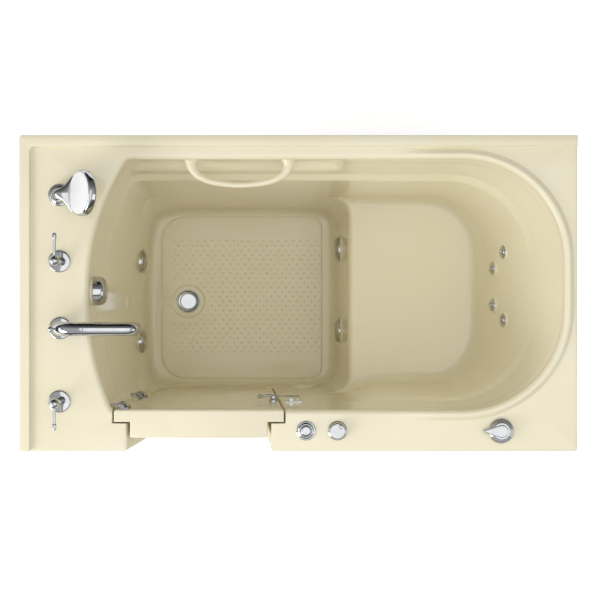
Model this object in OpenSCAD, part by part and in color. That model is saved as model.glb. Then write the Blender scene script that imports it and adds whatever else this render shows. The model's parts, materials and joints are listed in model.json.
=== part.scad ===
// Walk-in jetted bathtub: acrylic shell with deck, inward door, seat, deck taps,
// jets, drain, and the steel frame, pump and blower that it hides.
// Origin: centre of the footprint on the floor. +X runs to the seat end, +Y to the wall
// at the back, -Y to the door, +Z up. All sizes in millimetres.

/* [Deck] */
// Length of the footprint
tub_l = 1346; // [1340:1:1400]
// Width of the footprint
tub_w = 762; // [756:1:800]
// Height of the deck above the room floor
deck_z = 965; // [955:1:985]
// Thickness of the acrylic shell
wall = 8; // [6:0.5:9]
// Depth of the lip that turns down at the front and right edges
lip_h = 45; // [30:1:60]
// Width of the raised ledge along the left and back walls
ledge_w = 27; // [20:1:32]
// Height of the raised ledge
ledge_h = 9; // [6:1:14]

/* [Basin] */
// Height of the foot well floor above the room floor
well_z = 115; // [108:1:125]
// Height of the seat above the room floor
seat_z = 432; // [415:1:445]
// Width of the deck at the left end, under the taps
left_deck = 165; // [160:1:172]
// Width of the deck at the right end
right_deck = 33; // [29:1:45]
// Width of the deck at the back
back_deck = 57; // [53:1:64]
// Width of the deck at the front, over the door
front_deck = 100; // [97:1:103]
// Corner radius of the rim at the seat end
rim_r = 245; // [200:1:270]
// Depth of the seat from its front edge to the backrest
seat_depth = 364; // [356:1:372]
// How far the backrest leans out between the seat and the rim
back_run = 134; // [124:1:144]
// Height of the rolled lip round the seat end
roll_h = 10; // [6:1:14]

/* [Door] */
// Width of the inner door leaf at the top
door_w = 411; // [400:1:416]
// Height of the lower edge of the door leaf
door_sill = 190; // [180:1:215]
// Thickness of the inner leaf
door_leaf_t = 29; // [26:1:32]
// Thickness of the outer shell of the door
door_box_t = 40; // [34:1:44]
// How far the outer shell stands in from the edge of the leaf
door_step = 39; // [35:1:42]
// Gap between the leaf and the jamb
door_gap = 4; // [3.5:0.1:4.5]
// Gap between the outer shell and the jamb
door_side_gap = 8.6; // [7:0.1:10]
// Radius of the lower corners of the leaf
door_r = 90; // [75:1:110]

/* [Fittings] */
// Distance from the left edge of the deck to the row of taps
tap_inset = 96; // [91:1:101]
// Reach of the spout from its base
spout_reach = 190; // [170:1:205]
// Radius of the spout tube
spout_r = 15.5; // [14:0.5:17]
// Radius of the round flanges under the taps
tap_flange_r = 27; // [24:1:30]
// Radius of the face ring of a large jet
jet_ring_r = 36.5; // [33:0.5:38]
// Radius of the bore in the wall for a large jet
jet_bore_r = 25; // [22:0.5:28]
// Height of the centres of the large jets
jet_z = 256; // [250:1:262]
// Radius of the ring of a small back jet
back_jet_r = 18; // [16:0.5:20]
// Radius of the drain flange
drain_r = 36; // [33:0.5:38]
// Radius of the overflow cover
overflow_r = 36; // [32:0.5:38]
// Centre to centre length of the grab bar
grab_l = 240; // [220:1:255]
// Radius of the buttons and small knobs on the front deck
knob_r = 23.5; // [21:0.5:25]
// Radius of the large jet selector
selector_r = 30.5; // [28:0.5:33]

/* [Frame and machinery] */
// Side of the square steel tube of the frame
tube = 30; // [26:1:32]
// Wall of the square steel tube
tube_t = 2; // [1.5:0.5:3]
// Height of the levelling feet under the frame
foot_h = 42; // [38:1:46]
// Thickness of the front and end panels
panel_t = 6; // [4:0.5:7]
// Radius of the pump motor
motor_r = 72; // [65:1:78]
// Length of the pump motor
motor_l = 190; // [170:1:205]
// Radius of the blower housing
blower_r = 80; // [70:1:85]
// Outside radius of the water pipe
pipe_r = 16.7; // [15:0.1:18]

/* [Hidden] */

$fn = 48;
// Overrun of a cut past the face that it opens
cut = 1;
// Clearance at which one piece rests against another
rest_gap = 0.3;
// Radial clearance of a turning pin or spindle in its bore
run_gap = 0.05;
// Clearance of a tube or body in a drilled hole
hole_gap = 0.5;
// Thickness of the slabs that a hull runs between
slab = 0.01;

// Colours
acrylic = "#E6DDBB";
chrome = "#C9CBCC";
steel = "#8E9296";
pvc = "#E9E9E4";
rubber = "#2B2B2B";
black = "#26282A";
zinc = "#A7A9AB";

front_y = -tub_w / 2;
back_y = tub_w / 2;
left_x = -tub_l / 2;
right_x = tub_l / 2;
// Distances from the middle to each side of the rim
rim_left = tub_l / 2 - left_deck;
rim_right = tub_l / 2 - right_deck;
rim_back = tub_w / 2 - back_deck;
rim_front = tub_w / 2 - front_deck;
// Foot of the backrest and front edge of the seat, at seat height
seat_back_x = rim_right - back_run;
seat_front_x = seat_back_x - seat_depth;

// Points on an arc round c, from angle a0 to a1 in n steps
function arc(c, r, a0, a1, n) =
    [for (i = [0:n]) let (a = a0 + (a1 - a0) * i / n) c + r * [cos(a), sin(a)]];

// Outline of the basin at one level. The left end bows out, more towards the back than
// towards the door; the right end has round corners of radius r.
bow_front = 56;
bow_back = 92;
bow_power = 2.2;
bow_split = 0.46;
bow_steps = 18;
function bow(t, f) = t < bow_split
    ? f * bow_front * pow((bow_split - t) / bow_split, bow_power)
    : f * bow_back * pow((t - bow_split) / (1 - bow_split), bow_power);
function basin_outline(xl, xr, yf, yb, r, f, grow = 0) = concat(
    arc([xr - r, -yf + r], r + grow, -90, 0, 12),
    arc([xr - r, yb - r], r + grow, 0, 90, 12),
    [for (i = [bow_steps:-1:0]) let (t = i / bow_steps)
        [-xl - grow + bow(t, f), -yf - grow + (yf + yb + 2 * grow) * t]]
);

// Levels of the basin: left, right, front, back, corner radius, share of the bow
rim_level = [rim_left, rim_right, rim_front, rim_back, rim_r, 1];
seat_draft = 31;
seat_level = [rim_left - seat_draft, seat_back_x, rim_front - seat_draft,
    rim_back - 51, 150, 0.72];
// The foot well narrows evenly from the rim to its floor
well_draft = 29;
well_floor_x = seat_front_x - well_draft;
well_top_x = seat_front_x + well_draft / (seat_z - well_z) * (deck_z - seat_z);
well_rim = [rim_left, well_top_x, rim_front, rim_back, 40, 1];
well_floor = [rim_left - 36, well_floor_x, rim_front, rim_back - 60, 45, 0.25];

module level(l, z, grow) {
    translate([0, 0, z])
        linear_extrude(slab)
            polygon(basin_outline(l[0], l[1], l[2], l[3], l[4], l[5], grow));
}

// Space of the basin, or with grow set the outside of its walls
module basin(grow = 0) {
    hull() {
        level(rim_level, deck_z - slab, grow);
        level(seat_level, seat_z - grow, grow);
    }
    hull() {
        level(well_rim, deck_z - slab, grow);
        level(well_floor, well_z - grow, grow);
    }
}

// Front elevation of the door leaf, grown by g: straight sides that draw in towards the
// sill, and round lower corners
door_left = -rim_left + 62;
door_right = door_left + door_w;
door_taper = 0.064;
taper_k = sqrt(1 + door_taper * door_taper);
door_y = -rim_front + 1;
function door_side_x(z, g) = door_left - g * taper_k + door_taper * (deck_z - z);
function door_profile(g, top = deck_z) =
    let (r = door_r + g, zc = door_sill + door_r,
         xl = door_side_x(zc, g) + r * taper_k,
         xr = door_left + door_right - xl,
         lean = atan(door_taper))
    concat(
        [[door_side_x(top, g), top]],
        arc([xl, zc], r, 180 + lean, 270, 12),
        arc([xr, zc], r, 270, 360 - lean, 12),
        [[door_left + door_right - door_side_x(top, g), top]]
    );
// A slab of the door's elevation, from y0 back to y0 - t
module door_slab(g, y0, t, top = deck_z) {
    translate([0, y0, 0])
        rotate([90, 0, 0])
            linear_extrude(t)
                polygon(door_profile(g, top));
}

// Deck fittings: x and y of each
tap_x = left_x + tap_inset;
// Places along the left deck, as shares of the width of the tub
spout_share = -0.11;
hot_share = 0.1016;
cold_share = -0.3419;
handset_share = 0.311;
spout_at = [tap_x + 2, spout_share * tub_w];
hot_at = [tap_x, hot_share * tub_w];
cold_at = [tap_x, cold_share * tub_w];
handset_at = [tap_x, handset_share * tub_w];
// The front controls stand in the middle of the deck, clear of the door
control_y = front_y + front_deck / 2;
button_at = [door_right + 53, control_y];
air_at = [button_at[0] + 76, control_y];
selector_at = [rim_right - 152, control_y];
deck_hole_r = 16;

// Large jets: centre, with the side of the well that each one is in (-1 left, 1 seat)
left_jet_x = -rim_left + 34;
seat_jet_x = seat_front_x - 19;
jets = [[left_jet_x, 101, -1], [left_jet_x, -140, -1], [seat_jet_x, 137, 1],
    [seat_jet_x, -107, 1]];

// Puts children at a large jet, with +Z pointing into the well
module at_jet(j) {
    translate([j[0], j[1], jet_z])
        rotate([0, -j[2] * 90, 0])
            children();
}

// Small back jets: side and height of each, on the slope of the backrest
back_jets = [[113, 630], [-70, 630], [71, 560], [-30, 560]];
recline = atan((rim_right - seat_back_x) / (deck_z - seat_z));
back_pad = 6;
module at_back_jet(j) {
    translate([seat_back_x + (j[1] - seat_z) * tan(recline) - back_pad, j[0], j[1]])
        rotate([0, -90 + recline, 0])
            children();
}
back_bore_r = 9;

drain_at = [-rim_left + 163, -20];
drain_hole_r = 26;
overflow_y = 6;
overflow_z = deck_z - 60;
overflow_x = -rim_left + 7;
overflow_hole_r = 24;
suction_at = [seat_front_x - 122, -rim_front];
suction_z = 190;
suction_hole_r = 20;
suction_r = 44;

// Pads that are moulded into the wall as flat seats for round fittings
pad_extra = 3;
// Depth of each pad behind the face of its fitting
jet_pad = wall + 14;
back_jet_pad = wall + 12;
overflow_pad = wall + 16;
module seat_pads() {
    for (j = jets) at_jet(j)
        translate([0, 0, -jet_pad]) cylinder(r = jet_ring_r + pad_extra, h = jet_pad);
    for (j = back_jets) at_back_jet(j)
        translate([0, 0, -back_jet_pad])
            cylinder(r = back_jet_r + pad_extra, h = back_jet_pad);
    translate([overflow_x - overflow_pad, overflow_y, overflow_z])
        rotate([0, 90, 0]) cylinder(r = overflow_r + pad_extra, h = overflow_pad);
}

// Acrylic shell: deck, ledges, lips, basin and door jamb in one piece
roll_w = 20;
module tub_shell() {
    color(acrylic)
    difference() {
        union() {
            difference() {
                union() {
                    translate([left_x, front_y, deck_z - wall]) cube([tub_l, tub_w, wall]);
                    translate([left_x, front_y, deck_z - wall])
                        cube([ledge_w, tub_w, wall + ledge_h]);
                    translate([left_x, back_y - ledge_w, deck_z - wall])
                        cube([tub_l, ledge_w, wall + ledge_h]);
                    translate([left_x, front_y, deck_z - lip_h]) cube([tub_l, wall, lip_h]);
                    translate([right_x - wall, front_y, deck_z - lip_h])
                        cube([wall, tub_w, lip_h]);
                    intersection() {
                        hull() {
                            level(rim_level, deck_z - wall, roll_w);
                            level(rim_level, deck_z + roll_h, roll_w / 2);
                        }
                        translate([rim_right - 2 * rim_r + 60, -tub_w, deck_z - wall])
                            cube([tub_l, 2 * tub_w, wall + roll_h + cut]);
                    }
                    basin(wall);
                    door_slab(door_gap + wall, -rim_front, -rim_front - front_y);
                }
                basin();
                translate([0, 0, deck_z - slab])
                    linear_extrude(ledge_h + roll_h + cut)
                        polygon(basin_outline(rim_left, rim_right, rim_front, rim_back,
                            rim_r, 1));
                door_slab(door_gap, -rim_front + wall, wall + door_leaf_t + door_gap,
                    deck_z + cut);
                door_slab(door_side_gap - door_step, -rim_front, -rim_front - front_y + cut,
                    deck_z + cut);
            }
            seat_pads();
        }
        for (j = jets) at_jet(j)
            translate([0, 0, -4 * wall]) cylinder(r = jet_bore_r, h = 5 * wall);
        for (j = back_jets) at_back_jet(j)
            translate([0, 0, -4 * wall]) cylinder(r = back_bore_r, h = 5 * wall);
        for (p = [spout_at, hot_at, cold_at, handset_at, button_at, air_at, selector_at])
            translate([p[0], p[1], deck_z - 2 * wall]) cylinder(r = deck_hole_r, h = 3 * wall);
        translate([drain_at[0], drain_at[1], well_z - 2 * wall])
            cylinder(r = drain_hole_r, h = 3 * wall);
        translate([overflow_x - 5 * wall, overflow_y, overflow_z])
            rotate([0, 90, 0]) cylinder(r = overflow_hole_r, h = 6 * wall);
        at_suction(-cut) cylinder(r = suction_hole_r, h = 3 * wall);
        for (x = bar_x) translate([x, rim_back - 40, bar_z])
            rotate([-90, 0, 0]) cylinder(r = bar_stud_r + hole_gap, h = 90);
        // Flat seats for the rings, where the wall stands proud of them
        for (j = jets) at_jet(j) cylinder(r = jet_ring_r + 1, h = 20);
        for (j = back_jets) at_back_jet(j) cylinder(r = back_jet_r + 1, h = 20);
        for (z = hinge_z) jamb_leaf(z, rest_gap);
    }
}

// Grab bar: two studs pass through the back wall
bar_mid = -rim_left + 364;
bar_x = [bar_mid - grab_l / 2, bar_mid + grab_l / 2];
bar_z = deck_z - 60;
bar_stud_r = 5;
bar_r = 7;
bar_foot_r = 19;
bar_sag = 44;
// The bar is an arc of a circle through both feet
bar_arc_r = (grab_l * grab_l / 4 + bar_sag * bar_sag) / (2 * bar_sag);
bar_half = asin(grab_l / 2 / bar_arc_r);
bar_wall_y = rim_back - 6;
module grab_bar() {
    color(acrylic) {
        for (x = bar_x) translate([x, bar_wall_y, bar_z]) rotate([90, 0, 0])
            cylinder(r1 = bar_foot_r, r2 = bar_r + 3, h = 22);
        for (x = bar_x) translate([x, bar_wall_y - 1, bar_z]) rotate([-90, 0, 0])
            cylinder(r = bar_stud_r, h = 34);
        translate([bar_mid, bar_wall_y - 14 + bar_arc_r - bar_sag, bar_z])
            rotate([0, 0, -90 - bar_half]) rotate_extrude(angle = 2 * bar_half)
                translate([bar_arc_r, 0]) circle(r = bar_r);
    }
}

// Panels: the steel frame carries them behind the deck's lip
panel_y = front_y + wall + rest_gap;
panel_top = deck_z - 12;
panel_bottom = 14;
panel_split = seat_front_x - 122;
module front_sheet(x0, x1, z0, z1) {
    translate([0, panel_y + panel_t, 0]) rotate([90, 0, 0]) linear_extrude(panel_t)
        difference() {
            translate([x0, z0]) square([x1 - x0, z1 - z0]);
            polygon(door_profile(door_gap + wall + 1, deck_z + 10));
        }
}
module front_access_panel() {
    color(acrylic) front_sheet(panel_split, right_x - wall - panel_t - 1, panel_bottom,
        panel_top);
}
module front_fixed_panels() {
    color(acrylic)
        front_sheet(left_x + 2, panel_split - 2, panel_bottom, panel_top);
}
module end_panel() {
    color(acrylic)
        translate([right_x - wall - rest_gap - panel_t, panel_y, panel_bottom])
            cube([panel_t, tub_w - wall - 4, panel_top - panel_bottom]);
}

// Steel frame
post_y = panel_y + panel_t + rest_gap;
frame_l = left_x + 4;
frame_r = right_x - wall - 2 * rest_gap - panel_t;
frame_b = back_y - 4;
base_z = foot_h;
module bar_x_tube(x0, x1, y, z) {
    difference() {
        translate([x0, y, z]) cube([x1 - x0, tube, tube]);
        translate([x0 - cut, y + tube_t, z + tube_t])
            cube([x1 - x0 + 2 * cut, tube - 2 * tube_t, tube - 2 * tube_t]);
    }
}
module bar_y_tube(y0, y1, x, z) {
    difference() {
        translate([x, y0, z]) cube([tube, y1 - y0, tube]);
        translate([x + tube_t, y0 - cut, z + tube_t])
            cube([tube - 2 * tube_t, y1 - y0 + 2 * cut, tube - 2 * tube_t]);
    }
}
module post(x, y, z0, z1) {
    difference() {
        translate([x, y, z0]) cube([tube, tube, z1 - z0]);
        translate([x + tube_t, y + tube_t, z0 - cut])
            cube([tube - 2 * tube_t, tube - 2 * tube_t, z1 - z0 + 2 * cut]);
    }
}
// Cross tubes: two under the foot well, one under the seat, one near the end
cross_x = [-rim_left + 258, seat_front_x - 122, seat_front_x + 93, frame_r - 58];
bearer_x = [seat_front_x + 68, seat_back_x - 66];
module frame_base() {
    color(steel) {
        bar_x_tube(frame_l, frame_r, post_y, base_z);
        bar_x_tube(frame_l, frame_r, frame_b - tube, base_z);
        for (x = concat([frame_l], cross_x)) bar_y_tube(post_y + tube, frame_b - tube, x, base_z);
        // Packers that carry the foot well
        for (x = [cross_x[0], cross_x[1]]) for (y = [-180, 120])
            translate([x, y, base_z + tube]) cube([tube, 60, well_z - wall - base_z - tube]);
    }
}
module frame_posts() {
    color(steel) {
        for (y = [post_y, frame_b - tube]) for (x = [frame_l, frame_r - tube])
            post(x, y, base_z + tube, deck_z - wall);
        for (x = bearer_x) {
            post(x, post_y, base_z + tube, seat_z - wall - tube);
            post(x, frame_b - tube, base_z + tube, seat_z - wall - tube);
            bar_y_tube(post_y, frame_b, x, seat_z - wall - tube);
        }
    }
}
board_z = base_z + tube;
board_t = 12;
board_x = [seat_front_x + 38, frame_r - 38];
board_y = [front_y + 91, back_y - 81];
module equipment_board() {
    color("#B79B6E")
        translate([board_x[0], board_y[0], board_z])
            cube([board_x[1] - board_x[0], board_y[1] - board_y[0], board_t]);
}

// Levelling feet: threaded studs in the base frame, with their lock nuts
foot_x = [frame_l + tube / 2, cross_x[1] + tube / 2, frame_r - tube / 2];
foot_y = [post_y + tube / 2, frame_b - tube / 2];
foot_pad_r = 17;
foot_pad_h = 12;
foot_stud_r = 6;
foot_nut_h = 8;
module levelling_feet() {
    color(zinc)
        for (x = foot_x) for (y = foot_y) translate([x, y, 0]) {
            cylinder(r = foot_pad_r, h = foot_pad_h);
            cylinder(r = foot_stud_r, h = base_z);
        }
}
module foot_nuts() {
    color(zinc)
        for (x = foot_x) for (y = foot_y) translate([x, y, base_z - foot_nut_h])
            difference() {
                cylinder(r = 2 * foot_stud_r - 1, h = foot_nut_h, $fn = 6);
                translate([0, 0, -cut]) cylinder(r = foot_stud_r + run_gap,
                    h = foot_nut_h + 2 * cut);
            }
}
screw_r = 5;
screw_h = 3;
screw_z = [60, 470];
screw_x = [left_x + 30, right_x - 60];
module panel_screws() {
    color(zinc) for (z = screw_z) {
        for (x = screw_x) translate([x, panel_y, z]) rotate([90, 0, 0])
            cylinder(r = screw_r, h = screw_h);
        for (y = [front_y + 60, back_y - 60])
            translate([right_x - wall - rest_gap, y, z]) rotate([0, 90, 0])
                cylinder(r = screw_r, h = screw_h);
    }
}

// Door: inner leaf, outer shell, rubber seal
module door_inner_panel() {
    color(acrylic) door_slab(0, door_y, door_leaf_t);
}
module door_outer_panel() {
    color(acrylic) difference() {
        door_slab(-door_step, door_y - door_leaf_t, door_box_t);
        translate([0, 0, cut]) door_slab(-door_step - wall, door_y - door_leaf_t + cut,
            door_box_t - wall + cut, deck_z - 2 * wall);
    }
}
seal_in = 18;
seal_edge = 12;
seal_t = 2.8;
module door_seal() {
    color(rubber) translate([0, door_y - door_leaf_t, 0]) rotate([90, 0, 0])
        linear_extrude(seal_t) difference() {
            polygon(door_profile(-seal_edge, deck_z - 3));
            polygon(door_profile(-seal_edge - seal_in, deck_z + cut));
        }
}

// Hinges: two, on an upright axis just inside the leaf
hinge_x = door_left + 14;
hinge_y = door_y + 10;
hinge_z = [deck_z - 55, deck_z - 385];
hinge_h = 50;
hinge_pin_r = 3;
knuckle_r = 6.5;
leaf_t = 3;
knuckle_gap = 0.4;
hinge_leaf_l = 30;
// Knuckle rows: the jamb carries the middle one, the door the upper and lower ones
knuckle_h = hinge_h / 3;
module knuckle(z, h) {
    translate([hinge_x, hinge_y, z]) difference() {
        cylinder(r = knuckle_r, h = h);
        translate([0, 0, -cut]) cylinder(r = hinge_pin_r + run_gap, h = h + 2 * cut);
    }
}
// Where the jamb leaf of a hinge is let into the left wall
leaf_root_x = door_left - 15;
module jamb_leaf(z, grow = 0) {
    translate([leaf_root_x - grow, hinge_y - leaf_t / 2 - grow, z + knuckle_h - grow])
        cube([hinge_x - leaf_root_x, leaf_t + 2 * grow, knuckle_h + 2 * grow]);
}
module hinge_jamb_leaves() {
    color(steel) for (z = hinge_z) difference() {
        union() {
            jamb_leaf(z);
            knuckle(z + knuckle_h, knuckle_h);
        }
        translate([hinge_x, hinge_y, z]) cylinder(r = hinge_pin_r + run_gap, h = hinge_h);
    }
}
module hinge_door_leaves() {
    color(steel) for (z = hinge_z) difference() {
        union() {
            translate([hinge_x + knuckle_r + 1, door_y, z])
                cube([hinge_leaf_l - knuckle_r, leaf_t, hinge_h]);
            for (k = [0, 2]) {
                knuckle(z + k * knuckle_h + (k == 0 ? 0 : knuckle_gap),
                    knuckle_h - knuckle_gap);
                translate([hinge_x + 2, door_y, z + k * knuckle_h + (k == 0 ? 0 : knuckle_gap)])
                    cube([knuckle_r, hinge_y - door_y, knuckle_h - knuckle_gap]);
            }
        }
        translate([hinge_x, hinge_y, z - cut])
            cylinder(r = hinge_pin_r + run_gap, h = hinge_h + 2 * cut);
    }
}
pin_head_h = 3;
module hinge_pins() {
    color(steel) for (z = hinge_z) translate([hinge_x, hinge_y, 0]) {
        translate([0, 0, z - pin_head_h]) cylinder(r = hinge_pin_r, h = hinge_h + pin_head_h);
        translate([0, 0, z + hinge_h + rest_gap]) cylinder(r = hinge_pin_r + 2, h = pin_head_h);
        translate([0, 0, z + hinge_h - cut]) cylinder(r = hinge_pin_r, h = 2 * cut);
    }
}

// Latch: a lever on the door whose tongue lies over a keeper on the jamb
latch_x = door_right - 31;
latch_z = deck_z - 237;
latch_base_r = 13;
latch_base_t = 7;
latch_pin_r = 4;
hub_r = 10;
hub_t = 9;
lever_l = 34;
tongue_l = 62;
tongue_t = 5;
tongue_w = 10;
arm_w = 5;
ball_r = 6.5;
keeper_x = [door_right + 1, door_right + 43];
keeper_h = 26;
hub_y = door_y + latch_base_t + rest_gap;
// Puts children on the face of the door at the latch, +Z into the tub, +X to the jamb
module at_latch(y) {
    translate([latch_x, y, latch_z]) rotate([-90, 0, 0]) children();
}
module latch_base() {
    color(chrome) difference() {
        at_latch(door_y) cylinder(r = latch_base_r, h = latch_base_t);
        at_latch(door_y + 1) cylinder(r = latch_pin_r + run_gap, h = latch_base_t);
    }
}
module latch_lever() {
    color(chrome) {
        at_latch(door_y + 1.5) cylinder(r = latch_pin_r, h = latch_base_t);
        at_latch(hub_y) cylinder(r = hub_r, h = hub_t);
        at_latch(hub_y + hub_t - tongue_t)
            translate([0, -tongue_w / 2, 0]) cube([tongue_l, tongue_w, tongue_t]);
        at_latch(hub_y + hub_t - tongue_t)
            translate([-lever_l, -arm_w / 2, 0]) cube([lever_l, arm_w, tongue_t]);
        at_latch(hub_y + hub_t - tongue_t / 2)
            translate([-lever_l, 0, 0]) rotate([0, 0, 180]) sphere(r = ball_r);
    }
}
module latch_keeper() {
    keeper_y = -rim_front;
    color(chrome) {
        translate([keeper_x[0], keeper_y, latch_z - keeper_h / 2])
            cube([keeper_x[1] - keeper_x[0], 3, keeper_h]);
        translate([keeper_x[0] + 10, keeper_y, latch_z - 9])
            cube([22, hub_y + hub_t - tongue_t - rest_gap - keeper_y, 18]);
    }
}

// Deck taps: flanges, spout, handles, valves under the deck
flange_t = 4;
tap_stem_r = 9;
// Length of the stems that hold the taps under the flanges
tap_stem_l = 60;
taps = [spout_at, hot_at, cold_at, handset_at];
top_z = deck_z + flange_t;
module deck_flanges() {
    color(chrome) for (p = taps) translate([p[0], p[1], deck_z]) difference() {
        cylinder(r = tap_flange_r, h = flange_t);
        translate([0, 0, -cut]) cylinder(r = tap_stem_r + run_gap, h = flange_t + 2 * cut);
    }
}
spout_rise = 60;
bend_r = 26;
spout_drop = 22;
spout_foot_h = 14;
spout_foot_step = 5;
spout_end_x = spout_at[0] + spout_reach;
module bend(r, a) {
    rotate([90, 0, 0]) rotate_extrude(angle = a) translate([r, 0]) circle(r = spout_r);
}
spout_top = top_z + spout_rise + bend_r;
module spout() {
    color(chrome) difference() {
        union() {
            translate([spout_at[0], spout_at[1], top_z])
                cylinder(r1 = spout_r + spout_foot_step, r2 = spout_r, h = spout_foot_h);
            translate([spout_at[0], spout_at[1], top_z]) cylinder(r = spout_r, h = spout_rise);
            translate([spout_at[0] + bend_r, spout_at[1], top_z + spout_rise])
                rotate([0, -90, 0]) bend(bend_r, 90);
            translate([spout_at[0] + bend_r, spout_at[1], spout_top])
                rotate([0, 90, 0]) cylinder(r = spout_r, h = spout_reach - 2 * bend_r);
            translate([spout_end_x - bend_r, spout_at[1], spout_top - bend_r])
                bend(bend_r, 90);
            translate([spout_end_x, spout_at[1], spout_top - bend_r - spout_drop])
                cylinder(r = spout_r, h = spout_drop);
            translate([spout_at[0], spout_at[1], deck_z - tap_stem_l])
                cylinder(r = tap_stem_r, h = tap_stem_l + flange_t + 6);
        }
        translate([spout_end_x, spout_at[1], spout_top - bend_r - spout_drop - cut])
            cylinder(r = aerator_r + run_gap, h = aerator_l + cut);
        translate([spout_at[0], spout_at[1], spout_top - bend_r])
            cylinder(r = lift_r + run_gap, h = 2 * bend_r + spout_r);
    }
}
aerator_r = 11;
aerator_l = 12;
aerator_out = 2;
aerator_hole_r = 1.6;
module aerator() {
    color(chrome) translate([spout_end_x, spout_at[1], spout_top - bend_r - spout_drop])
        difference() {
            translate([0, 0, -aerator_out]) cylinder(r = aerator_r, h = aerator_l);
            for (a = [0:60:300]) rotate([0, 0, a])
                translate([aerator_r - 5, 0, -aerator_out - cut])
                    cylinder(r = aerator_hole_r, h = aerator_l - 4, $fn = 16);
        }
}
lift_r = 4;
lift_knob_r = 7;
lift_knob_h = 12;
// Its stem goes a little way into the knob, which clears the top of the spout
lift_knob_gap = 2;
lift_stem_in = 4;
module spout_diverter_knob() {
    color(chrome) translate([spout_at[0], spout_at[1], spout_top - bend_r + cut]) {
        cylinder(r = lift_r, h = bend_r + spout_r + lift_knob_gap + lift_stem_in);
        translate([0, 0, bend_r + spout_r + lift_knob_gap])
            cylinder(r = lift_knob_r, h = lift_knob_h);
    }
}
valve_r = 13;
valve_l = 70;
valve_nut_r = 22;
valve_nut_h = 8;
// Depth of the seat of the handle's stem, from the underside of the deck
valve_seat = 22;
module tap_valves() {
    color("#B08D57") for (p = [hot_at, cold_at]) translate([p[0], p[1], deck_z - wall]) {
        difference() {
            translate([0, 0, -valve_nut_h])
                cylinder(r = valve_nut_r, h = valve_nut_h - rest_gap, $fn = 6);
            translate([0, 0, -valve_nut_h - cut])
                cylinder(r = valve_r + run_gap, h = valve_nut_h + 2 * cut);
        }
        difference() {
            translate([0, 0, -valve_l]) cylinder(r = valve_r, h = valve_l + wall - 1);
            translate([0, 0, -valve_seat])
                cylinder(r = handle_stem_r + run_gap, h = valve_seat + 2 * wall);
        }
        translate([0, 0, -valve_l - inlet_l]) difference() {
            cylinder(r = inlet_r, h = inlet_l + inlet_in);
            translate([0, 0, -cut]) cylinder(r = inlet_r - inlet_t, h = inlet_l);
        }
    }
}
inlet_r = 10.5;
inlet_t = 3;
inlet_l = 40;
// How far the inlet's solid end goes into the valve
inlet_in = 5;
handle_h = 55;
handle_r = 12.5;
handle_foot_r = 17;
handle_foot_h = 12;
handle_stem_r = tap_stem_r - 3;
handle_stem_l = 26;
lever_r = 4;
lever_end_l = 14;
lever_end_step = 1.5;
module tap_handle(p, dir, l) {
    translate([p[0], p[1], 0]) {
        translate([0, 0, deck_z - handle_stem_l])
            cylinder(r = handle_stem_r, h = handle_stem_l + flange_t + 2);
        translate([0, 0, top_z + rest_gap]) {
            cylinder(r1 = handle_foot_r, r2 = handle_r, h = handle_foot_h);
            cylinder(r = handle_r, h = handle_h);
            translate([0, 0, handle_h]) sphere(r = handle_r);
            translate([0, 0, handle_h]) rotate([-dir * 90, 0, 0]) {
                cylinder(r = lever_r, h = l);
                translate([0, 0, l - lever_end_l])
                    cylinder(r = lever_r + lever_end_step, h = lever_end_l);
            }
        }
    }
}
hot_lever_l = 66;
cold_lever_l = 64;
module hot_handle() { color(chrome) tap_handle(hot_at, 1, hot_lever_l); }
module cold_handle() { color(chrome) tap_handle(cold_at, -1, cold_lever_l); }

// Hand shower: the handle slides down into a socket on the deck. Its head leans out over
// the tub, so from above its back shows and its spray face points to the tub and down.
socket_r = 19;
socket_h = 18;
// Floor of the socket above the flange, and the play over it
socket_floor = 4;
grip_play = 1;
grip_r = 12;
grip_h = 34;
grip_z = top_z + socket_floor + grip_play;
head_r = 55;
head_t = 20;
// Bevels at the edge of the back and of the face
head_round = 2;
head_bevel = 3;
// Lean of the back out of the upright, and where its middle stands from the grip's top
head_lean = 36.5;
head_out = 59.5;
head_up = 24.6;
neck_r = 26;
neck_drop = 25;
neck_in = 2;
face_r = 45;
face_t = 4;
spray_rows = [12, 24, 36];
spray_r = 1.5;
module handset_holder() {
    color(chrome) translate([handset_at[0], handset_at[1], top_z]) difference() {
        union() {
            cylinder(r1 = socket_r + 3, r2 = socket_r - 2, h = socket_h);
            translate([0, 0, -tap_stem_l]) cylinder(r = tap_stem_r, h = tap_stem_l + cut);
        }
        translate([0, 0, socket_floor]) cylinder(r = grip_r + run_gap, h = socket_h);
    }
}
// Puts children on the back of the head, with +Z pointing out through its spray face
module at_head(z) {
    translate([handset_at[0] + head_out, handset_at[1], grip_z + grip_h + head_up])
        rotate([0, 90 + head_lean, 0]) translate([0, 0, z]) children();
}
module handset() {
    color(chrome) difference() {
        union() {
            translate([handset_at[0], handset_at[1], grip_z])
                cylinder(r = grip_r, h = grip_h);
            hull() {
                translate([handset_at[0], handset_at[1], grip_z + grip_h])
                    sphere(r = grip_r, $fn = 32);
                at_head(cut) translate([neck_drop, 0, 0])
                    cylinder(r = neck_r, h = neck_in, $fn = 40);
            }
            at_head(0) rotate_extrude() polygon([[0, 0], [head_r - head_round, 0],
                [head_r, head_round], [head_r, head_t - head_bevel],
                [head_r - head_bevel, head_t], [0, head_t]]);
        }
        at_head(head_t - face_t) cylinder(r = face_r + run_gap, h = face_t + cut);
    }
}
module handset_face() {
    color("#D9DADB") at_head(head_t - face_t) difference() {
        cylinder(r = face_r, h = face_t);
        for (r = spray_rows) for (a = [0:30:330]) rotate([0, 0, a])
            translate([r, 0, face_t / 2]) cylinder(r = spray_r, h = face_t, $fn = 16);
    }
}

// Drain in the foot well, overflow on the left wall, and the tube between them
drain_ring_t = 3;
drain_bore_r = 20;
drain_neck_r = drain_hole_r - hole_gap;
drain_neck_l = 26;
plug_r = 26;
plug_t = 4;
plug_stem_r = 4;
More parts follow.
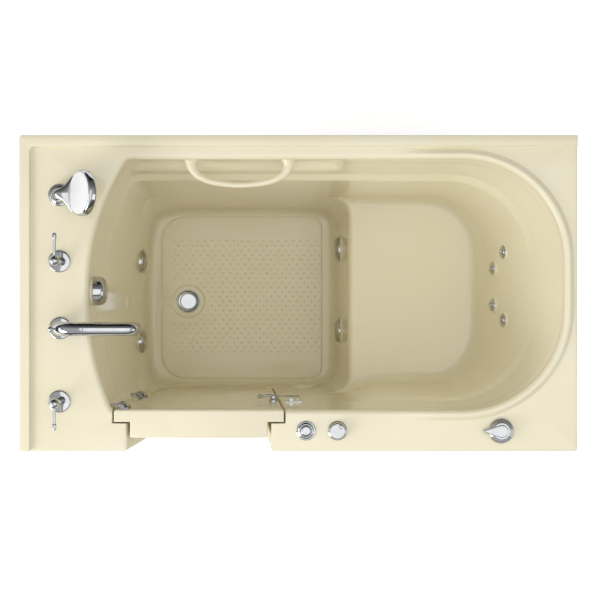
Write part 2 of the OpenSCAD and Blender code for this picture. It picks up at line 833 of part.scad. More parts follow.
// Cross bars in the neck, and the boss that guides the plug's stem
cross_w = 5;
cross_h = 8;
boss_r = 8;
module at_drain(z) { translate([drain_at[0], drain_at[1], z]) children(); }
module drain_flange() {
    color(chrome) difference() {
        union() {
            at_drain(well_z) cylinder(r = drain_r, h = drain_ring_t);
            at_drain(well_z - drain_neck_l) cylinder(r = drain_neck_r, h = drain_neck_l + cut);
        }
        difference() {
            at_drain(well_z - drain_neck_l - cut) cylinder(r = drain_bore_r, h = 40);
            at_drain(well_z - drain_neck_l) intersection() {
                cylinder(r = drain_bore_r + cut, h = cross_h);
                for (a = [0, 90]) rotate([0, 0, a])
                    translate([-cross_w / 2, -drain_r, 0]) cube([cross_w, 2 * drain_r, cross_h]);
            }
            at_drain(well_z - drain_neck_l) cylinder(r = boss_r, h = cross_h);
        }
        at_drain(well_z - drain_neck_l - cut)
            cylinder(r = plug_stem_r + run_gap, h = cross_h + 4);
    }
}
module drain_plug() {
    color(chrome) {
        at_drain(well_z + drain_ring_t + rest_gap) cylinder(r = plug_r, h = plug_t);
        at_drain(well_z - drain_neck_l + 2)
            cylinder(r = plug_stem_r, h = drain_neck_l + drain_ring_t);
    }
}
waste_r = 19.05;
// Wall of the tail below the drain body
waste_t = 3;
waste_z = well_z - 31;
drain_body_r = 31;
waste_l = 60;
// Underside of the drain body, where its tail begins
sump_z = waste_z - 22;
tube_y = -7;
stand_x = -rim_left - 48;
stand_r = 15;
module drain_body() {
    color(black) difference() {
        union() {
            at_drain(sump_z) cylinder(r = drain_body_r,
                h = well_z - wall - rest_gap - sump_z);
            at_drain(sump_z - waste_l) cylinder(r = waste_r, h = waste_l + cut);
        }
        at_drain(sump_z + 6) cylinder(r = drain_neck_r + run_gap, h = well_z - sump_z);
        at_drain(sump_z - waste_l - cut) cylinder(r = waste_r - waste_t, h = waste_l + 10);
        translate([stand_x, tube_y, waste_z])
            rotate([0, 90, 0]) cylinder(r = stand_r + run_gap, h = drain_at[0] - stand_x - 25);
    }
}
module overflow_tube() {
    color(black) {
        translate([stand_x, tube_y, waste_z])
            cylinder(r = stand_r, h = overflow_z - stand_top - waste_z);
        translate([stand_x, tube_y, waste_z]) sphere(r = stand_r);
        translate([stand_x, tube_y, waste_z])
            rotate([0, 90, 0]) cylinder(r = stand_r, h = drain_at[0] - stand_x - 27);
    }
}
overflow_stem_r = 5;
overflow_stem_l = 26;
overflow_body_r = 30;
overflow_body_l = 52;
// Tops of the stand pipe and of its socket, below the middle of the overflow
stand_top = 20;
socket_bottom = 60;
module at_overflow(x) {
    translate([overflow_x + x, overflow_y, overflow_z]) rotate([0, 90, 0]) children();
}
module overflow_body() {
    color(black) difference() {
        union() {
            at_overflow(-overflow_pad - 1) cylinder(r = overflow_hole_r - hole_gap,
                h = overflow_pad + 1);
            at_overflow(-overflow_pad - rest_gap - overflow_body_l)
                cylinder(r = overflow_body_r, h = overflow_body_l);
        }
        at_overflow(-overflow_stem_l - 4) cylinder(r = overflow_stem_r + run_gap, h = 40);
        translate([stand_x, tube_y, overflow_z - socket_bottom])
            cylinder(r = stand_r + run_gap, h = socket_bottom - stand_top + 2);
    }
}
cover_t = 24;
module overflow_cover() {
    color(chrome) {
        at_overflow(rest_gap) difference() {
            cylinder(r1 = overflow_r, r2 = overflow_r - 6, h = cover_t);
            translate([overflow_r - 12, -overflow_r, -cut])
                cube([overflow_r, 2 * overflow_r, cover_t - 6]);
        }
        at_overflow(-overflow_stem_l) cylinder(r = overflow_stem_r, h = overflow_stem_l + 4);
    }
}

// Water jets: bodies behind the wall, rings and turning nozzles in the well
jet_body_r = 30;
jet_body_l = 65;
nozzle_r = 21;
jet_ring_t = 7;
back_body_l = 32;
back_body_r = 15;
// Thickness of the closed ends of the jet bodies
jet_end_t = 8;
back_end_t = 6;
module jet_bodies() {
    color(pvc) {
        for (j = jets) at_jet(j) difference() {
            union() {
                translate([0, 0, -jet_body_l]) cylinder(r = jet_bore_r - hole_gap,
                    h = jet_body_l);
                translate([0, 0, -jet_body_l])
                    cylinder(r = jet_body_r, h = jet_body_l - jet_pad - rest_gap);
            }
            translate([0, 0, -jet_body_l + jet_end_t])
                cylinder(r = jet_bore_r - 5, h = jet_body_l);
        }
        for (j = back_jets) at_back_jet(j) difference() {
            union() {
                translate([0, 0, -back_body_l]) cylinder(r = back_bore_r - hole_gap,
                    h = back_body_l);
                translate([0, 0, -back_body_l]) cylinder(r = back_body_r,
                    h = back_body_l - back_jet_pad - rest_gap);
            }
            translate([0, 0, -back_body_l + back_end_t])
                cylinder(r = back_bore_r - 3, h = back_body_l);
        }
    }
}
module jet_rings() {
    color(chrome) for (j = jets) at_jet(j) difference() {
        union() {
            cylinder(r = jet_ring_r, h = 3);
            cylinder(r1 = jet_ring_r - 2, r2 = jet_ring_r - 7, h = jet_ring_t);
        }
        translate([0, 0, -cut]) cylinder(r = nozzle_r + run_gap, h = jet_ring_t + 2 * cut);
    }
}
module jet_nozzle(j) {
    color(chrome) at_jet(j) difference() {
        union() {
            translate([0, 0, 0.5]) cylinder(r = nozzle_r, h = jet_ring_t);
            translate([0, 0, jet_ring_t]) cylinder(r1 = 12, r2 = 9, h = 6);
            for (a = [0, 120, 240]) rotate([0, 0, a])
                translate([8, -2, jet_ring_t]) cube([10, 4, 4]);
        }
        translate([0, 0, -cut]) cylinder(r = 5, h = 20);
    }
}
module jet_nozzle_1() { jet_nozzle(jets[0]); }
module jet_nozzle_2() { jet_nozzle(jets[1]); }
module jet_nozzle_3() { jet_nozzle(jets[2]); }
module jet_nozzle_4() { jet_nozzle(jets[3]); }
module back_jet_faces() {
    color(chrome) for (j = back_jets) at_back_jet(j) difference() {
        union() {
            cylinder(r = back_jet_r, h = 2.5);
            cylinder(r1 = back_jet_r - 4, r2 = back_jet_r - 9, h = 6);
        }
        translate([0, 0, -cut]) cylinder(r = 4.5, h = 10);
    }
}

// Pump, seated in line with the suction fitting, and its pipework
pump_x = seat_front_x + 158;
wet_r = 80;
wet_l = 70;
pump_y = 15;
outlet_y = pump_y + 30;
main_x = seat_front_x + 70;
// The left run passes behind the jets, into the sides of their bodies
side_x = left_jet_x - 47;
pipe_y = back_y - 69;
module run_x(x0, x1, y, z, r) {
    translate([x0, y, z]) rotate([0, 90, 0]) cylinder(r = r, h = x1 - x0);
}
module run_y(y0, y1, x, z, r) {
    translate([x, y0, z]) rotate([-90, 0, 0]) cylinder(r = r, h = y1 - y0);
}
// Branches are a size smaller than the main, and its elbows stand a little proud
branch_step = 2;
elbow_step = 2;
body_side = jet_body_r + rest_gap;
module water_path(r) {
    run_x(main_x, pump_x, outlet_y, jet_z, r - branch_step);
    run_y(jets[3][1], pipe_y, main_x, jet_z, r);
    run_x(side_x, main_x, pipe_y, jet_z, r);
    run_y(jets[0][1] + body_side, pipe_y, side_x, jet_z, r);
    run_y(jets[1][1] + body_side, jets[0][1] - body_side, side_x, jet_z, r);
    for (j = [jets[2], jets[3]]) run_x(seat_jet_x + jet_body_l, main_x, j[1], jet_z,
        r - branch_step);
    for (p = [[main_x, jets[3][1]], [main_x, pipe_y], [side_x, pipe_y]])
        translate([p[0], p[1], jet_z]) sphere(r = r + elbow_step);
}
module water_manifold() { color(pvc) water_path(pipe_r); }
suction_t = 8;
suction_tube = 20;
// The pipe runs just clear of the end of the cover's tube
suction_y = -(rim_front + suction_tube + pipe_r + rest_gap);
suction_turn_x = pump_x - 50;
// Puts children at the suction fitting, with +Z pointing out of the well
module at_suction(y) {
    translate([suction_at[0], suction_at[1] - y, suction_z]) rotate([90, 0, 0]) children();
}
module suction_cover() {
    color(chrome) difference() {
        union() {
            at_suction(-suction_t) cylinder(r1 = suction_r - 5, r2 = suction_r, h = suction_t);
            at_suction(0) cylinder(r = suction_hole_r - hole_gap, h = suction_tube);
        }
        at_suction(-suction_t + 3) cylinder(r = pipe_r - 3, h = suction_tube + 10);
        for (r = [5, 11]) for (a = [0:60:300]) at_suction(-suction_t - cut)
            rotate([0, 0, a + r]) translate([r, 0, 0]) cylinder(r = 2, h = 8, $fn = 16);
    }
}
module suction_pipe() {
    color(pvc) {
        at_suction(suction_tube) cylinder(r = pipe_r, h = suction_at[1] - suction_tube - suction_y);
        run_x(suction_at[0], suction_turn_x, suction_y, suction_z, pipe_r);
        run_y(suction_y, pump_y, suction_turn_x, suction_z, pipe_r);
        run_x(suction_turn_x, pump_x, pump_y, suction_z, pipe_r);
        for (p = [[suction_at[0], suction_y], [suction_turn_x, suction_y],
            [suction_turn_x, pump_y]]) translate([p[0], p[1], suction_z]) sphere(r = pipe_r);
        at_suction(wall + rest_gap) difference() {
            cylinder(r = suction_hole_r + 8, h = suction_tube - wall);
            translate([0, 0, -cut]) cylinder(r = suction_hole_r, h = suction_tube - wall
                + cut - rest_gap);
        }
    }
}
shaft_r = 6;
imp_r = 55;
// Chamber of the impeller: where it begins, its depth and the room round it
chamber_x = 12;
chamber_l = 32;
chamber_gap = 5;
// Disc and blades of the impeller
imp_x = 34;
imp_t = 6;
blade_x = 18;
blade_t = 4;
shaft_out = 20;
pump_foot = [50, 100, 40];
outlet_box = [40, 50, 96];
board_top = board_z + board_t;
module at_pump(x) {
    translate([pump_x + x, pump_y, suction_z]) rotate([0, 90, 0]) children();
}
module pump_wet_end() {
    color(black) difference() {
        union() {
            at_pump(0) cylinder(r = wet_r, h = wet_l);
            translate([pump_x, outlet_y - outlet_box[1] / 2, suction_z]) cube(outlet_box);
            translate([pump_x + 10, pump_y - pump_foot[1] / 2, board_top]) cube(pump_foot);
        }
        at_pump(chamber_x) cylinder(r = imp_r + chamber_gap, h = chamber_l);
        at_pump(-cut) cylinder(r = pipe_r - 3, h = 20);
        at_pump(20) cylinder(r = shaft_r + run_gap, h = wet_l);
        run_x(pump_x - cut, pump_x + 25, outlet_y, jet_z, pipe_r - 3);
        translate([pump_x + 25, outlet_y, suction_z + 20]) cylinder(r = 11, h = 70);
    }
}
module pump_impeller() {
    color(black) {
        at_pump(imp_x) cylinder(r = imp_r, h = imp_t);
        for (a = [0:60:300]) at_pump(blade_x) rotate([0, 0, a])
            translate([shaft_r, -blade_t / 2, 0])
                cube([imp_r - shaft_r - 3, blade_t, imp_x - blade_x + cut]);
        at_pump(blade_x - 2) cylinder(r = shaft_r + 4, h = imp_x - blade_x + 4);
        at_pump(imp_x + 2) cylinder(r = shaft_r, h = wet_l - imp_x - 2 + shaft_out);
    }
}
motor_cap_l = 22;
cradle_t = 24;
cradle_w = 100;
wiring_box = [90, 70, 34];
module pump_motor() {
    color("#3A4A5E") difference() {
        union() {
            at_pump(wet_l + rest_gap) cylinder(r = motor_r, h = motor_l);
            at_pump(wet_l + motor_l) cylinder(r = motor_r - 6, h = motor_cap_l);
            for (x = [40, motor_l - 40])
                translate([pump_x + wet_l + x - cradle_t / 2, pump_y - cradle_w / 2, board_top])
                    cube([cradle_t, cradle_w, suction_z - board_top - 40]);
            translate([pump_x + wet_l + 50, pump_y - wiring_box[1] / 2,
                suction_z + motor_r - 12]) cube(wiring_box);
        }
        at_pump(wet_l - cut) cylinder(r = shaft_r + run_gap, h = shaft_out + 4);
    }
}

// Air blower on the board, and the control box
blower_at = [rim_right - 110, front_y + 191];
blower_h = 110;
blower_out_r = 20;
blower_out_l = 35;
fan_r = 60;
fan_shaft_r = 4;
fan_shaft_l = 44;
// Inner edge of the blades, their thickness and their height over the disc
blade_in = 26;
fan_blade_t = 3;
fan_blade_h = 30;
air_hole_r = 22;
module at_blower(z) { translate([blower_at[0], blower_at[1], board_top + z]) children(); }
module blower_housing() {
    color(black) difference() {
        union() {
            at_blower(0) cylinder(r = blower_r, h = blower_h);
            at_blower(35) rotate([0, 0, 180]) translate([0, blower_r - 42, 0])
                rotate([0, -90, 180]) cylinder(r = blower_out_r, h = blower_r + blower_out_l);
        }
        at_blower(15) cylinder(r = fan_r + 6, h = 45);
        at_blower(59) cylinder(r = air_hole_r, h = blower_h);
        at_blower(8) cylinder(r = fan_shaft_r + run_gap, h = 10);
    }
}
module blower_fan() {
    color("#C8C8C8") {
        at_blower(9) cylinder(r = fan_shaft_r, h = fan_shaft_l);
        at_blower(20) cylinder(r = fan_r, h = 4);
        for (a = [0:30:330]) at_blower(22) rotate([0, 0, a])
            translate([blade_in, -fan_blade_t / 2, 0])
                cube([fan_r - blade_in - 2, fan_blade_t, fan_blade_h]);
    }
}
box_at = [rim_right - 160, back_y - 251];
box_size = [120, 140, 70];
gland_r = 9;
gland_l = 16;
module control_box() {
    color("#D0D0CC") {
        translate([box_at[0], box_at[1], board_top]) cube(box_size);
        for (k = [0.25, 0.75])
            translate([box_at[0] + k * box_size[0], box_at[1], board_top + box_size[2] / 2])
                rotate([90, 0, 0]) cylinder(r = gland_r, h = gland_l);
    }
}

// Controls on the front deck
stem_r = deck_hole_r - hole_gap;
stem_l = 46;
spindle_r = 5;
button_r = 13;
bezel_t = 6;
module at_deck(p, z) { translate([p[0], p[1], deck_z + z]) children(); }
module deck_nut(p) {
    at_deck(p, -wall - 8) difference() {
        cylinder(r = stem_r + 7, h = 8 - rest_gap, $fn = 6);
        translate([0, 0, -cut]) cylinder(r = stem_r - cut, h = 10);
    }
}
module air_button_bezel() {
    color(chrome) {
        difference() {
            union() {
                at_deck(button_at, 0) cylinder(r1 = knob_r, r2 = knob_r - 4, h = bezel_t);
                at_deck(button_at, -stem_l) cylinder(r = stem_r, h = stem_l + 1);
            }
            at_deck(button_at, -stem_l + 6) cylinder(r = button_r + run_gap, h = stem_l + 10);
        }
        deck_nut(button_at);
    }
}
spring_r = 9;
spring_h = 22;
module air_button() {
    color(chrome) {
        at_deck(button_at, -stem_l + 6 + spring_h + rest_gap)
            cylinder(r = button_r, h = stem_l - 6 - spring_h + bezel_t);
        at_deck(button_at, bezel_t) cylinder(r1 = button_r, r2 = button_r - 4, h = 3);
    }
}
module air_button_spring() {
    color(zinc) at_deck(button_at, -stem_l + 6) difference() {
        cylinder(r = spring_r, h = spring_h);
        translate([0, 0, -cut]) cylinder(r = spring_r - 2, h = spring_h + 2 * cut);
    }
}
module control_base(p, r) {
    difference() {
        union() {
            at_deck(p, 0) cylinder(r = r, h = 3);
            at_deck(p, -stem_l) cylinder(r = stem_r, h = stem_l + 1);
        }
        at_deck(p, -20) cylinder(r = spindle_r + run_gap, h = 30);
    }
    deck_nut(p);
}
module control_spindle(p) { at_deck(p, -18) cylinder(r = spindle_r, h = 24); }
module air_control_base() { color(chrome) control_base(air_at, knob_r); }
module air_control_knob() {
    color(chrome) {
        difference() {
            at_deck(air_at, 3 + rest_gap) cylinder(r1 = knob_r - 2, r2 = knob_r - 5, h = knob_h);
            at_deck(air_at, 12) translate([0, knob_r - 5, 0]) cylinder(r = 5, h = 10);
        }
        control_spindle(air_at);
    }
}
selector_box_r = 28;
selector_box_h = 40;
// Hub and tip of the pointer, and how far the tip stands out
pointer_hub_r = 16;
pointer_tip_r = 6;
pointer_l = 36;
knob_h = 14;
module selector_body() {
    color(chrome) control_base(selector_at, selector_r - 1);
    color(pvc) at_deck(selector_at, -stem_l - selector_box_h) difference() {
        cylinder(r = selector_box_r, h = selector_box_h);
        translate([0, 0, 8]) cylinder(r = selector_box_r - 10, h = selector_box_h - 16);
    }
}
module selector_knob() {
    color(chrome) {
        at_deck(selector_at, 3 + rest_gap) {
            cylinder(r1 = selector_r, r2 = selector_r - 6, h = knob_h);
            hull() {
                cylinder(r = pointer_hub_r, h = knob_h + 4, $fn = 32);
                translate([-pointer_l, 0, 0]) cylinder(r = pointer_tip_r, h = knob_h - 2, $fn = 32);
            }
        }
        control_spindle(selector_at);
    }
}

tub_shell();
front_access_panel();
front_fixed_panels();
end_panel();
panel_screws();
frame_base();
frame_posts();
equipment_board();
levelling_feet();
foot_nuts();
door_inner_panel();
door_outer_panel();
door_seal();
hinge_jamb_leaves();
hinge_door_leaves();
hinge_pins();
latch_base();
latch_lever();
latch_keeper();
grab_bar();
deck_flanges();
spout();
aerator();
spout_diverter_knob();
tap_valves();
hot_handle();
cold_handle();
handset_holder();
handset();
handset_face();
drain_flange();
drain_plug();
drain_body();
overflow_body();
overflow_cover();
overflow_tube();
jet_bodies();
jet_rings();
jet_nozzle_1();
jet_nozzle_2();
jet_nozzle_3();
jet_nozzle_4();
back_jet_faces();
water_manifold();
suction_cover();
suction_pipe();
pump_wet_end();
pump_motor();
pump_impeller();
blower_housing();
blower_fan();
control_box();
air_button_bezel();
air_button();
air_button_spring();
air_control_base();
air_control_knob();
selector_body();
selector_knob();
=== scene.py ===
# %% [markdown]
# A walk-in jetted tub in biscuit-coloured acrylic, seen from straight above. The packed
# CAD frame carries every piece; this script gives each one its real surface. The shell is
# modelled again as a smooth skin, the chrome fittings are turned and swept, and the steel
# frame and machinery below keep their CAD shapes and get finishes.

# %% Load the frame
import json
import math

import bmesh
import bpy
import numpy as np
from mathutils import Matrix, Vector
from mathutils.geometry import delaunay_2d_cdt


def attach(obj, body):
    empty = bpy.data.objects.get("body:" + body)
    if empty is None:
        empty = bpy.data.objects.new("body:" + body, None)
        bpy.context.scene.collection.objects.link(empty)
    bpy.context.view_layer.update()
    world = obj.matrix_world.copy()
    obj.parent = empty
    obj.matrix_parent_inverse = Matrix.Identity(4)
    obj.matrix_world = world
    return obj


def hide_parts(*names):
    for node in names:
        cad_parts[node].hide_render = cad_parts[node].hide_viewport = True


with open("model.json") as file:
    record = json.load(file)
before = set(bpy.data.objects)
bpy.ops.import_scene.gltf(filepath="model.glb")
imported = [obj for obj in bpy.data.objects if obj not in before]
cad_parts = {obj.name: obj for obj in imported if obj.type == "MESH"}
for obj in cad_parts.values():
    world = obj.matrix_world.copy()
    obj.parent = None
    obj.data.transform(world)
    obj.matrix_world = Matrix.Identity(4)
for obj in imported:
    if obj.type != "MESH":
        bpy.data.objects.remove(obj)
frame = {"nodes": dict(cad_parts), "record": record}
scene = bpy.context.scene
MM = 0.001
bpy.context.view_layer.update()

# %% [markdown]
# The camera hangs straight over the tub. How fast the seat and the floor shrink towards the
# middle of the picture gives its height over the deck, about 2.9 metres, and the width of
# the deck in the picture then gives the lens.

# %% Camera over the tub
DECK = 965.0
CAMERA_OVER_DECK = 2900.0
PIXELS_PER_MM = 0.4146
FRAME_PX = 600
TUB_CENTRE_PX = (298.5, 293.4)
SENSOR = 36.0
CLIP_METRES = 50


def new_object(name, data):
    """An object with the data, linked to the scene."""
    obj = bpy.data.objects.new(name, data)
    scene.collection.objects.link(obj)
    return obj


def camera_over_tub():
    data = bpy.data.cameras.new("camera")
    data.sensor_width = SENSOR
    data.lens = PIXELS_PER_MM * CAMERA_OVER_DECK * SENSOR / FRAME_PX
    data.clip_end = CLIP_METRES
    cam = new_object("camera", data)
    half = FRAME_PX / 2
    cam.location = ((half - TUB_CENTRE_PX[0]) / PIXELS_PER_MM * MM,
                    (TUB_CENTRE_PX[1] - half) / PIXELS_PER_MM * MM,
                    (DECK + CAMERA_OVER_DECK) * MM)
    scene.camera = cam
    return data


camera = camera_over_tub()
print("lens", round(camera.lens, 1), "mm")

# %% [markdown]
# Materials. Each starts from what the real one is. One function turns the sRGB hex values
# into Blender's linear colours, and one adds a node with its settings and links.

# %% Node helpers


def hex_colour(value):
    channels = [int(value[i:i + 2], 16) / 255 for i in (1, 3, 5)]
    return [c / 12.92 if c <= 0.04045 else ((c + 0.055) / 1.055) ** 2.4
            for c in channels] + [1.0]


def join(tree, source, socket):
    """Links an output to an input; a node stands for its own first output."""
    tree.links.new(source.outputs[0] if isinstance(source, bpy.types.Node) else source, socket)


def add_node(tree, kind, settings=None, **links):
    """One node: settings are attributes or input values, links are inputs to join."""
    item = tree.nodes.new(kind)
    for key, value in (settings or {}).items():
        if isinstance(key, str) and hasattr(item, key) and key not in item.inputs:
            setattr(item, key, value)
        else:
            item.inputs[key].default_value = value
    for key, source in links.items():
        join(tree, source, item.inputs[int(key[1:]) if key[0] == "_" else key.replace("_", " ")])
    return item


def math_node(tree, operation, first, second):
    """A node for one sum on two values; each is a number, a node or a node's output."""
    values = {"operation": operation}
    links = {}
    for k, value in enumerate((first, second)):
        if isinstance(value, (int, float)):
            values[k] = value
        else:
            links[f"_{k}"] = value
    return add_node(tree, "ShaderNodeMath", values, **links)


def new_material(name, **settings):
    """A material, its tree and its shader; settings are the shader's input values."""
    mat = bpy.data.materials.new(name)
    mat.use_nodes = True
    tree = mat.node_tree
    shader = tree.nodes["Principled BSDF"]
    for key, value in settings.items():
        shader.inputs[key.replace("_", " ")].default_value = value
    return mat, tree, shader


def object_noise(tree, size_mm, detail=2.0, seed=0.0, distortion=0.0):
    """Noise in object space; size_mm is the size of a grain, or its size along each axis."""
    scale = 1000.0 / np.broadcast_to(np.asarray(size_mm, float), (3,))
    place = add_node(tree, "ShaderNodeTexCoord")
    spread = add_node(tree, "ShaderNodeMapping", {"Location": seed * scale, "Scale": scale},
                      Vector=place.outputs["Object"])
    return add_node(tree, "ShaderNodeTexNoise",
                    {"Scale": 1.0, "Detail": detail, "Distortion": distortion}, Vector=spread)


def add_bump(tree, shader, noise, depth_mm, strength=1.0):
    bump = add_node(tree, "ShaderNodeBump", {"Strength": strength, "Distance": depth_mm * MM},
                    Height=noise)
    join(tree, bump, shader.inputs["Normal"])


def two_tone(tree, shader, noise, dark, light):
    """Colours the shader with two tones of one colour, laid out by the noise."""
    ramp = add_node(tree, "ShaderNodeValToRGB", Fac=noise)
    for stop, place, tone in zip(ramp.color_ramp.elements, (0.35, 0.65), (dark, light)):
        stop.position = place
        stop.color = hex_colour(tone)
    join(tree, ramp, shader.inputs["Base Color"])


# %% Finishes
ACRYLIC_TONES = ("#F1E9CA", "#F4ECD0")
ACRYLIC_DRIFT_MM = 260


def make_acrylic():
    # Cast acrylic sheet drawn by vacuum over a mould: even biscuit colour, a high gloss,
    # and the faintest waviness, which shows only as a slow wander in its reflections.
    mat, tree, shader = new_material("biscuit_cast_acrylic", Roughness=0.16, IOR=1.49,
                                     Coat_Weight=0.35, Coat_Roughness=0.06)
    two_tone(tree, shader, object_noise(tree, ACRYLIC_DRIFT_MM, 1.5), *ACRYLIC_TONES)
    add_bump(tree, shader, object_noise(tree, 90, 1.0, 4.0), 0.5, 0.12)
    return mat


def make_trimmed_acrylic():
    # The way through the front is trimmed and sanded after moulding: the same colour, dull
    mat, tree, shader = new_material("sanded_acrylic_edge", Roughness=0.6,
                                     Specular_IOR_Level=0.15)
    two_tone(tree, shader, object_noise(tree, ACRYLIC_DRIFT_MM, 1.5), *ACRYLIC_TONES)
    add_bump(tree, shader, object_noise(tree, 1.5), 0.05, 0.4)
    return mat


def make_chrome():
    # Brass castings polished and plated with bright chrome: a mirror with a trace of haze,
    # which gives back a little more than half of the light that falls on it
    mat, tree, shader = new_material("polished_chrome_plate", Metallic=1.0)
    haze = object_noise(tree, 30, 2.0, 2.0)
    two_tone(tree, shader, haze, "#BDBFC1", "#C6C8CA")
    rough = add_node(tree, "ShaderNodeMapRange", {"To Min": 0.05, "To Max": 0.10}, Value=haze)
    join(tree, rough, shader.inputs["Roughness"])
    return mat


def make_satin_metal(name, dark, light, rough):
    # Drawn metal: fine scratches run along the stock, so the noise is stretched in Z
    mat, tree, shader = new_material(name, Metallic=1.0, Roughness=rough)
    lines = object_noise(tree, (2.4, 2.4, 30), 3.0)
    two_tone(tree, shader, lines, dark, light)
    add_bump(tree, shader, lines, 0.05, 0.3)
    return mat


def make_plastic(name, dark, light, rough, grain_mm=1.2, depth_mm=0.08):
    # Injection moulded plastic: a fine spark-eroded grain in an even colour
    mat, tree, shader = new_material(name, Roughness=rough, IOR=1.46)
    two_tone(tree, shader, object_noise(tree, 60, 2.0, 5.0), dark, light)
    add_bump(tree, shader, object_noise(tree, grain_mm), depth_mm, 0.5)
    return mat


def make_board():
    # Plywood: long grain figure in a warm veneer, sealed and dull
    mat, tree, shader = new_material("sealed_birch_plywood", Roughness=0.6)
    figure = object_noise(tree, (1000 / 6, 1000 / 70, 1000 / 70), 5.0, distortion=0.6)
    two_tone(tree, shader, figure, "#A98A5C", "#CDB284")
    add_bump(tree, shader, figure, 0.2, 0.4)
    return mat


finish = {
    "acrylic": make_acrylic(),
    "trimmed_acrylic": make_trimmed_acrylic(),
    "chrome": make_chrome(),
    "steel": make_satin_metal("pickled_stainless_steel", "#8C8F92", "#A9ACAE", 0.34),
    "zinc_plate": make_satin_metal("bright_zinc_plate", "#A2A6A8", "#BFC3C6", 0.3),
    "brass": make_satin_metal("machined_brass", "#A98445", "#C7A262", 0.28),
    "pvc": make_plastic("white_pressure_pvc", "#E4E4DF", "#EDEDE9", 0.38),
    "black_plastic": make_plastic("black_moulded_abs", "#1C1D1F", "#26272A", 0.42),
    "seal_rubber": make_plastic("black_epdm_rubber", "#1A1A1A", "#232323", 0.62, 0.8, 0.15),
    "spray_face": make_plastic("white_moulded_polymer", "#F4F4F5", "#F8F8F9", 0.22),
    "motor_paint": make_plastic("baked_blue_grey_enamel", "#34455A", "#3D4F66", 0.35, 3, 0.12),
    "board": make_board(),
    "box_plastic": make_plastic("pale_polycarbonate", "#CBCBC6", "#D6D6D1", 0.45),
    "fan_plastic": make_plastic("glass_filled_nylon", "#BEBEBC", "#CBCBC9", 0.5),
}
slot_of = {row["node"]: row["material_slot"] for row in frame["record"]["subparts"]}
for name, obj in frame["nodes"].items():
    obj.data.materials.clear()
    obj.data.materials.append(finish[slot_of[name]])
print(len(finish), "finishes on", len(slot_of), "CAD nodes")

# %% [markdown]
# The shell. A real one is a single acrylic sheet drawn into a mould, so every edge is a
# soft radius and the bowl has no seam. Booleans of blocks can't give those soft edges, so
# the bowl is lofted here: one closed outline, with matched points, is carried down the wall
# and changes its shape from the rim to the seat, over the seat's front edge and down to the
# floor of the foot well. Each level's outline comes from the same few sizes as the CAD.

# %% Sizes of the shell
WALL = 8.0
HALF_L = 673.0
HALF_W = 381.0
RIM = {"left": 508.0, "right": 640.0, "front": 281.0, "back": 324.0}
SEAT_Z = 432.0
WELL_Z = 115.0
SEAT_FRONT_X = 142.0
SEAT_BACK_X = 506.0
WELL_FLOOR_X = 113.0
BOW_FRONT = 56.0
BOW_BACK = 92.0
BOW_POWER = 2.2
BOW_SPLIT = 0.46
BOW_FADE = 0.75
LEFT_TAPER = 36.0
RIM_R = 245.0
SEAT_R = 150.0
WELL_R = 40.0
RING_COUNTS = (130, 150, 130, 120)
END_CROWD = 0.3


def bow_in(t, share):
    """How far the left wall comes in at t, 0 at the front and 1 at the back."""
    if t < BOW_SPLIT:
        return share * BOW_FRONT * ((BOW_SPLIT - t) / BOW_SPLIT) ** BOW_POWER
    return share * BOW_BACK * ((t - BOW_SPLIT) / (1 - BOW_SPLIT)) ** BOW_POWER


def arc_points(centre, radius, start, end, steps):
    turn = np.radians(np.linspace(start, end, steps))
    return np.stack([centre[0] + radius * np.cos(turn), centre[1] + radius * np.sin(turn)], 1)


def corner_arc(x, y, radius, start, steps):
    """The corner at (x, y) rounded off: a quarter turn whose outward angle begins at start."""
    middle = math.radians(start + 45)
    centre = (x - math.copysign(radius, math.cos(middle)),
              y - math.copysign(radius, math.sin(middle)))
    return arc_points(centre, radius, start, start + 90, steps)


def spread_along(points, count, crowd=0.0):
    """count points along a line; crowd, 0 to 1, draws them towards its two ends."""
    line = np.asarray(points, float)
    step = np.hypot(*np.diff(line, axis=0).T)
    along = np.concatenate([[0], np.cumsum(step)])
    t = np.linspace(0, 1, count)
    t = t - crowd * np.sin(2 * np.pi * t) / (2 * np.pi)
    return np.stack([np.interp(t * along[-1], along, line[:, k]) for k in (0, 1)], 1)


def basin_ring(drop, right, front, back, radius):
    """One outline of the basin, as four runs with fixed point counts so levels match. The
    left wall's place and bow follow drop, 0 at the deck and 1 at the foot well's floor."""
    left = -RIM["left"] + LEFT_TAPER * drop
    share = 1 - BOW_FADE * drop
    t_line = np.linspace(1, 0, 60)
    bow_line = np.stack([left + np.array([bow_in(t, share) for t in t_line]),
                         -front + (front + back) * t_line], 1)
    end_line = np.vstack([corner_arc(right, -front, radius, -90, 40),
                          corner_arc(right, back, radius, 0, 40)])
    lines = [[(left + bow_in(0, share), -front), (right - radius, -front)], end_line,
             [(right - radius, back), (left + bow_in(1, share), back)], bow_line]
    crowds = (END_CROWD, 0.0, END_CROWD, END_CROWD)
    return np.vstack([spread_along(line, count + 1, crowd)[:-1]
                      for line, count, crowd in zip(lines, RING_COUNTS, crowds)])


def soften(ring, passes):
    """Rounds the corners of a closed ring; more passes give a larger radius."""
    out = ring.copy()
    for _ in range(int(passes)):
        out = 0.5 * out + 0.25 * (np.roll(out, 1, 0) + np.roll(out, -1, 0))
    return out


def ring_normals(ring):
    """Outward normals of a ring that runs anticlockwise."""
    along = np.roll(ring, -1, 0) - np.roll(ring, 1, 0)
    along /= np.hypot(*along.T)[:, None]
    return np.stack([along[:, 1], -along[:, 0]], 1)


def smooth_step(x, low, high):
    t = np.clip((x - low) / (high - low), 0, 1)
    return t * t * (3 - 2 * t)


def at_height(flat, z):
    """A plan outline lifted to z, which is one height or one for each point."""
    return np.column_stack([flat, np.broadcast_to(z, (len(flat),))])


print("ring points", sum(RING_COUNTS))

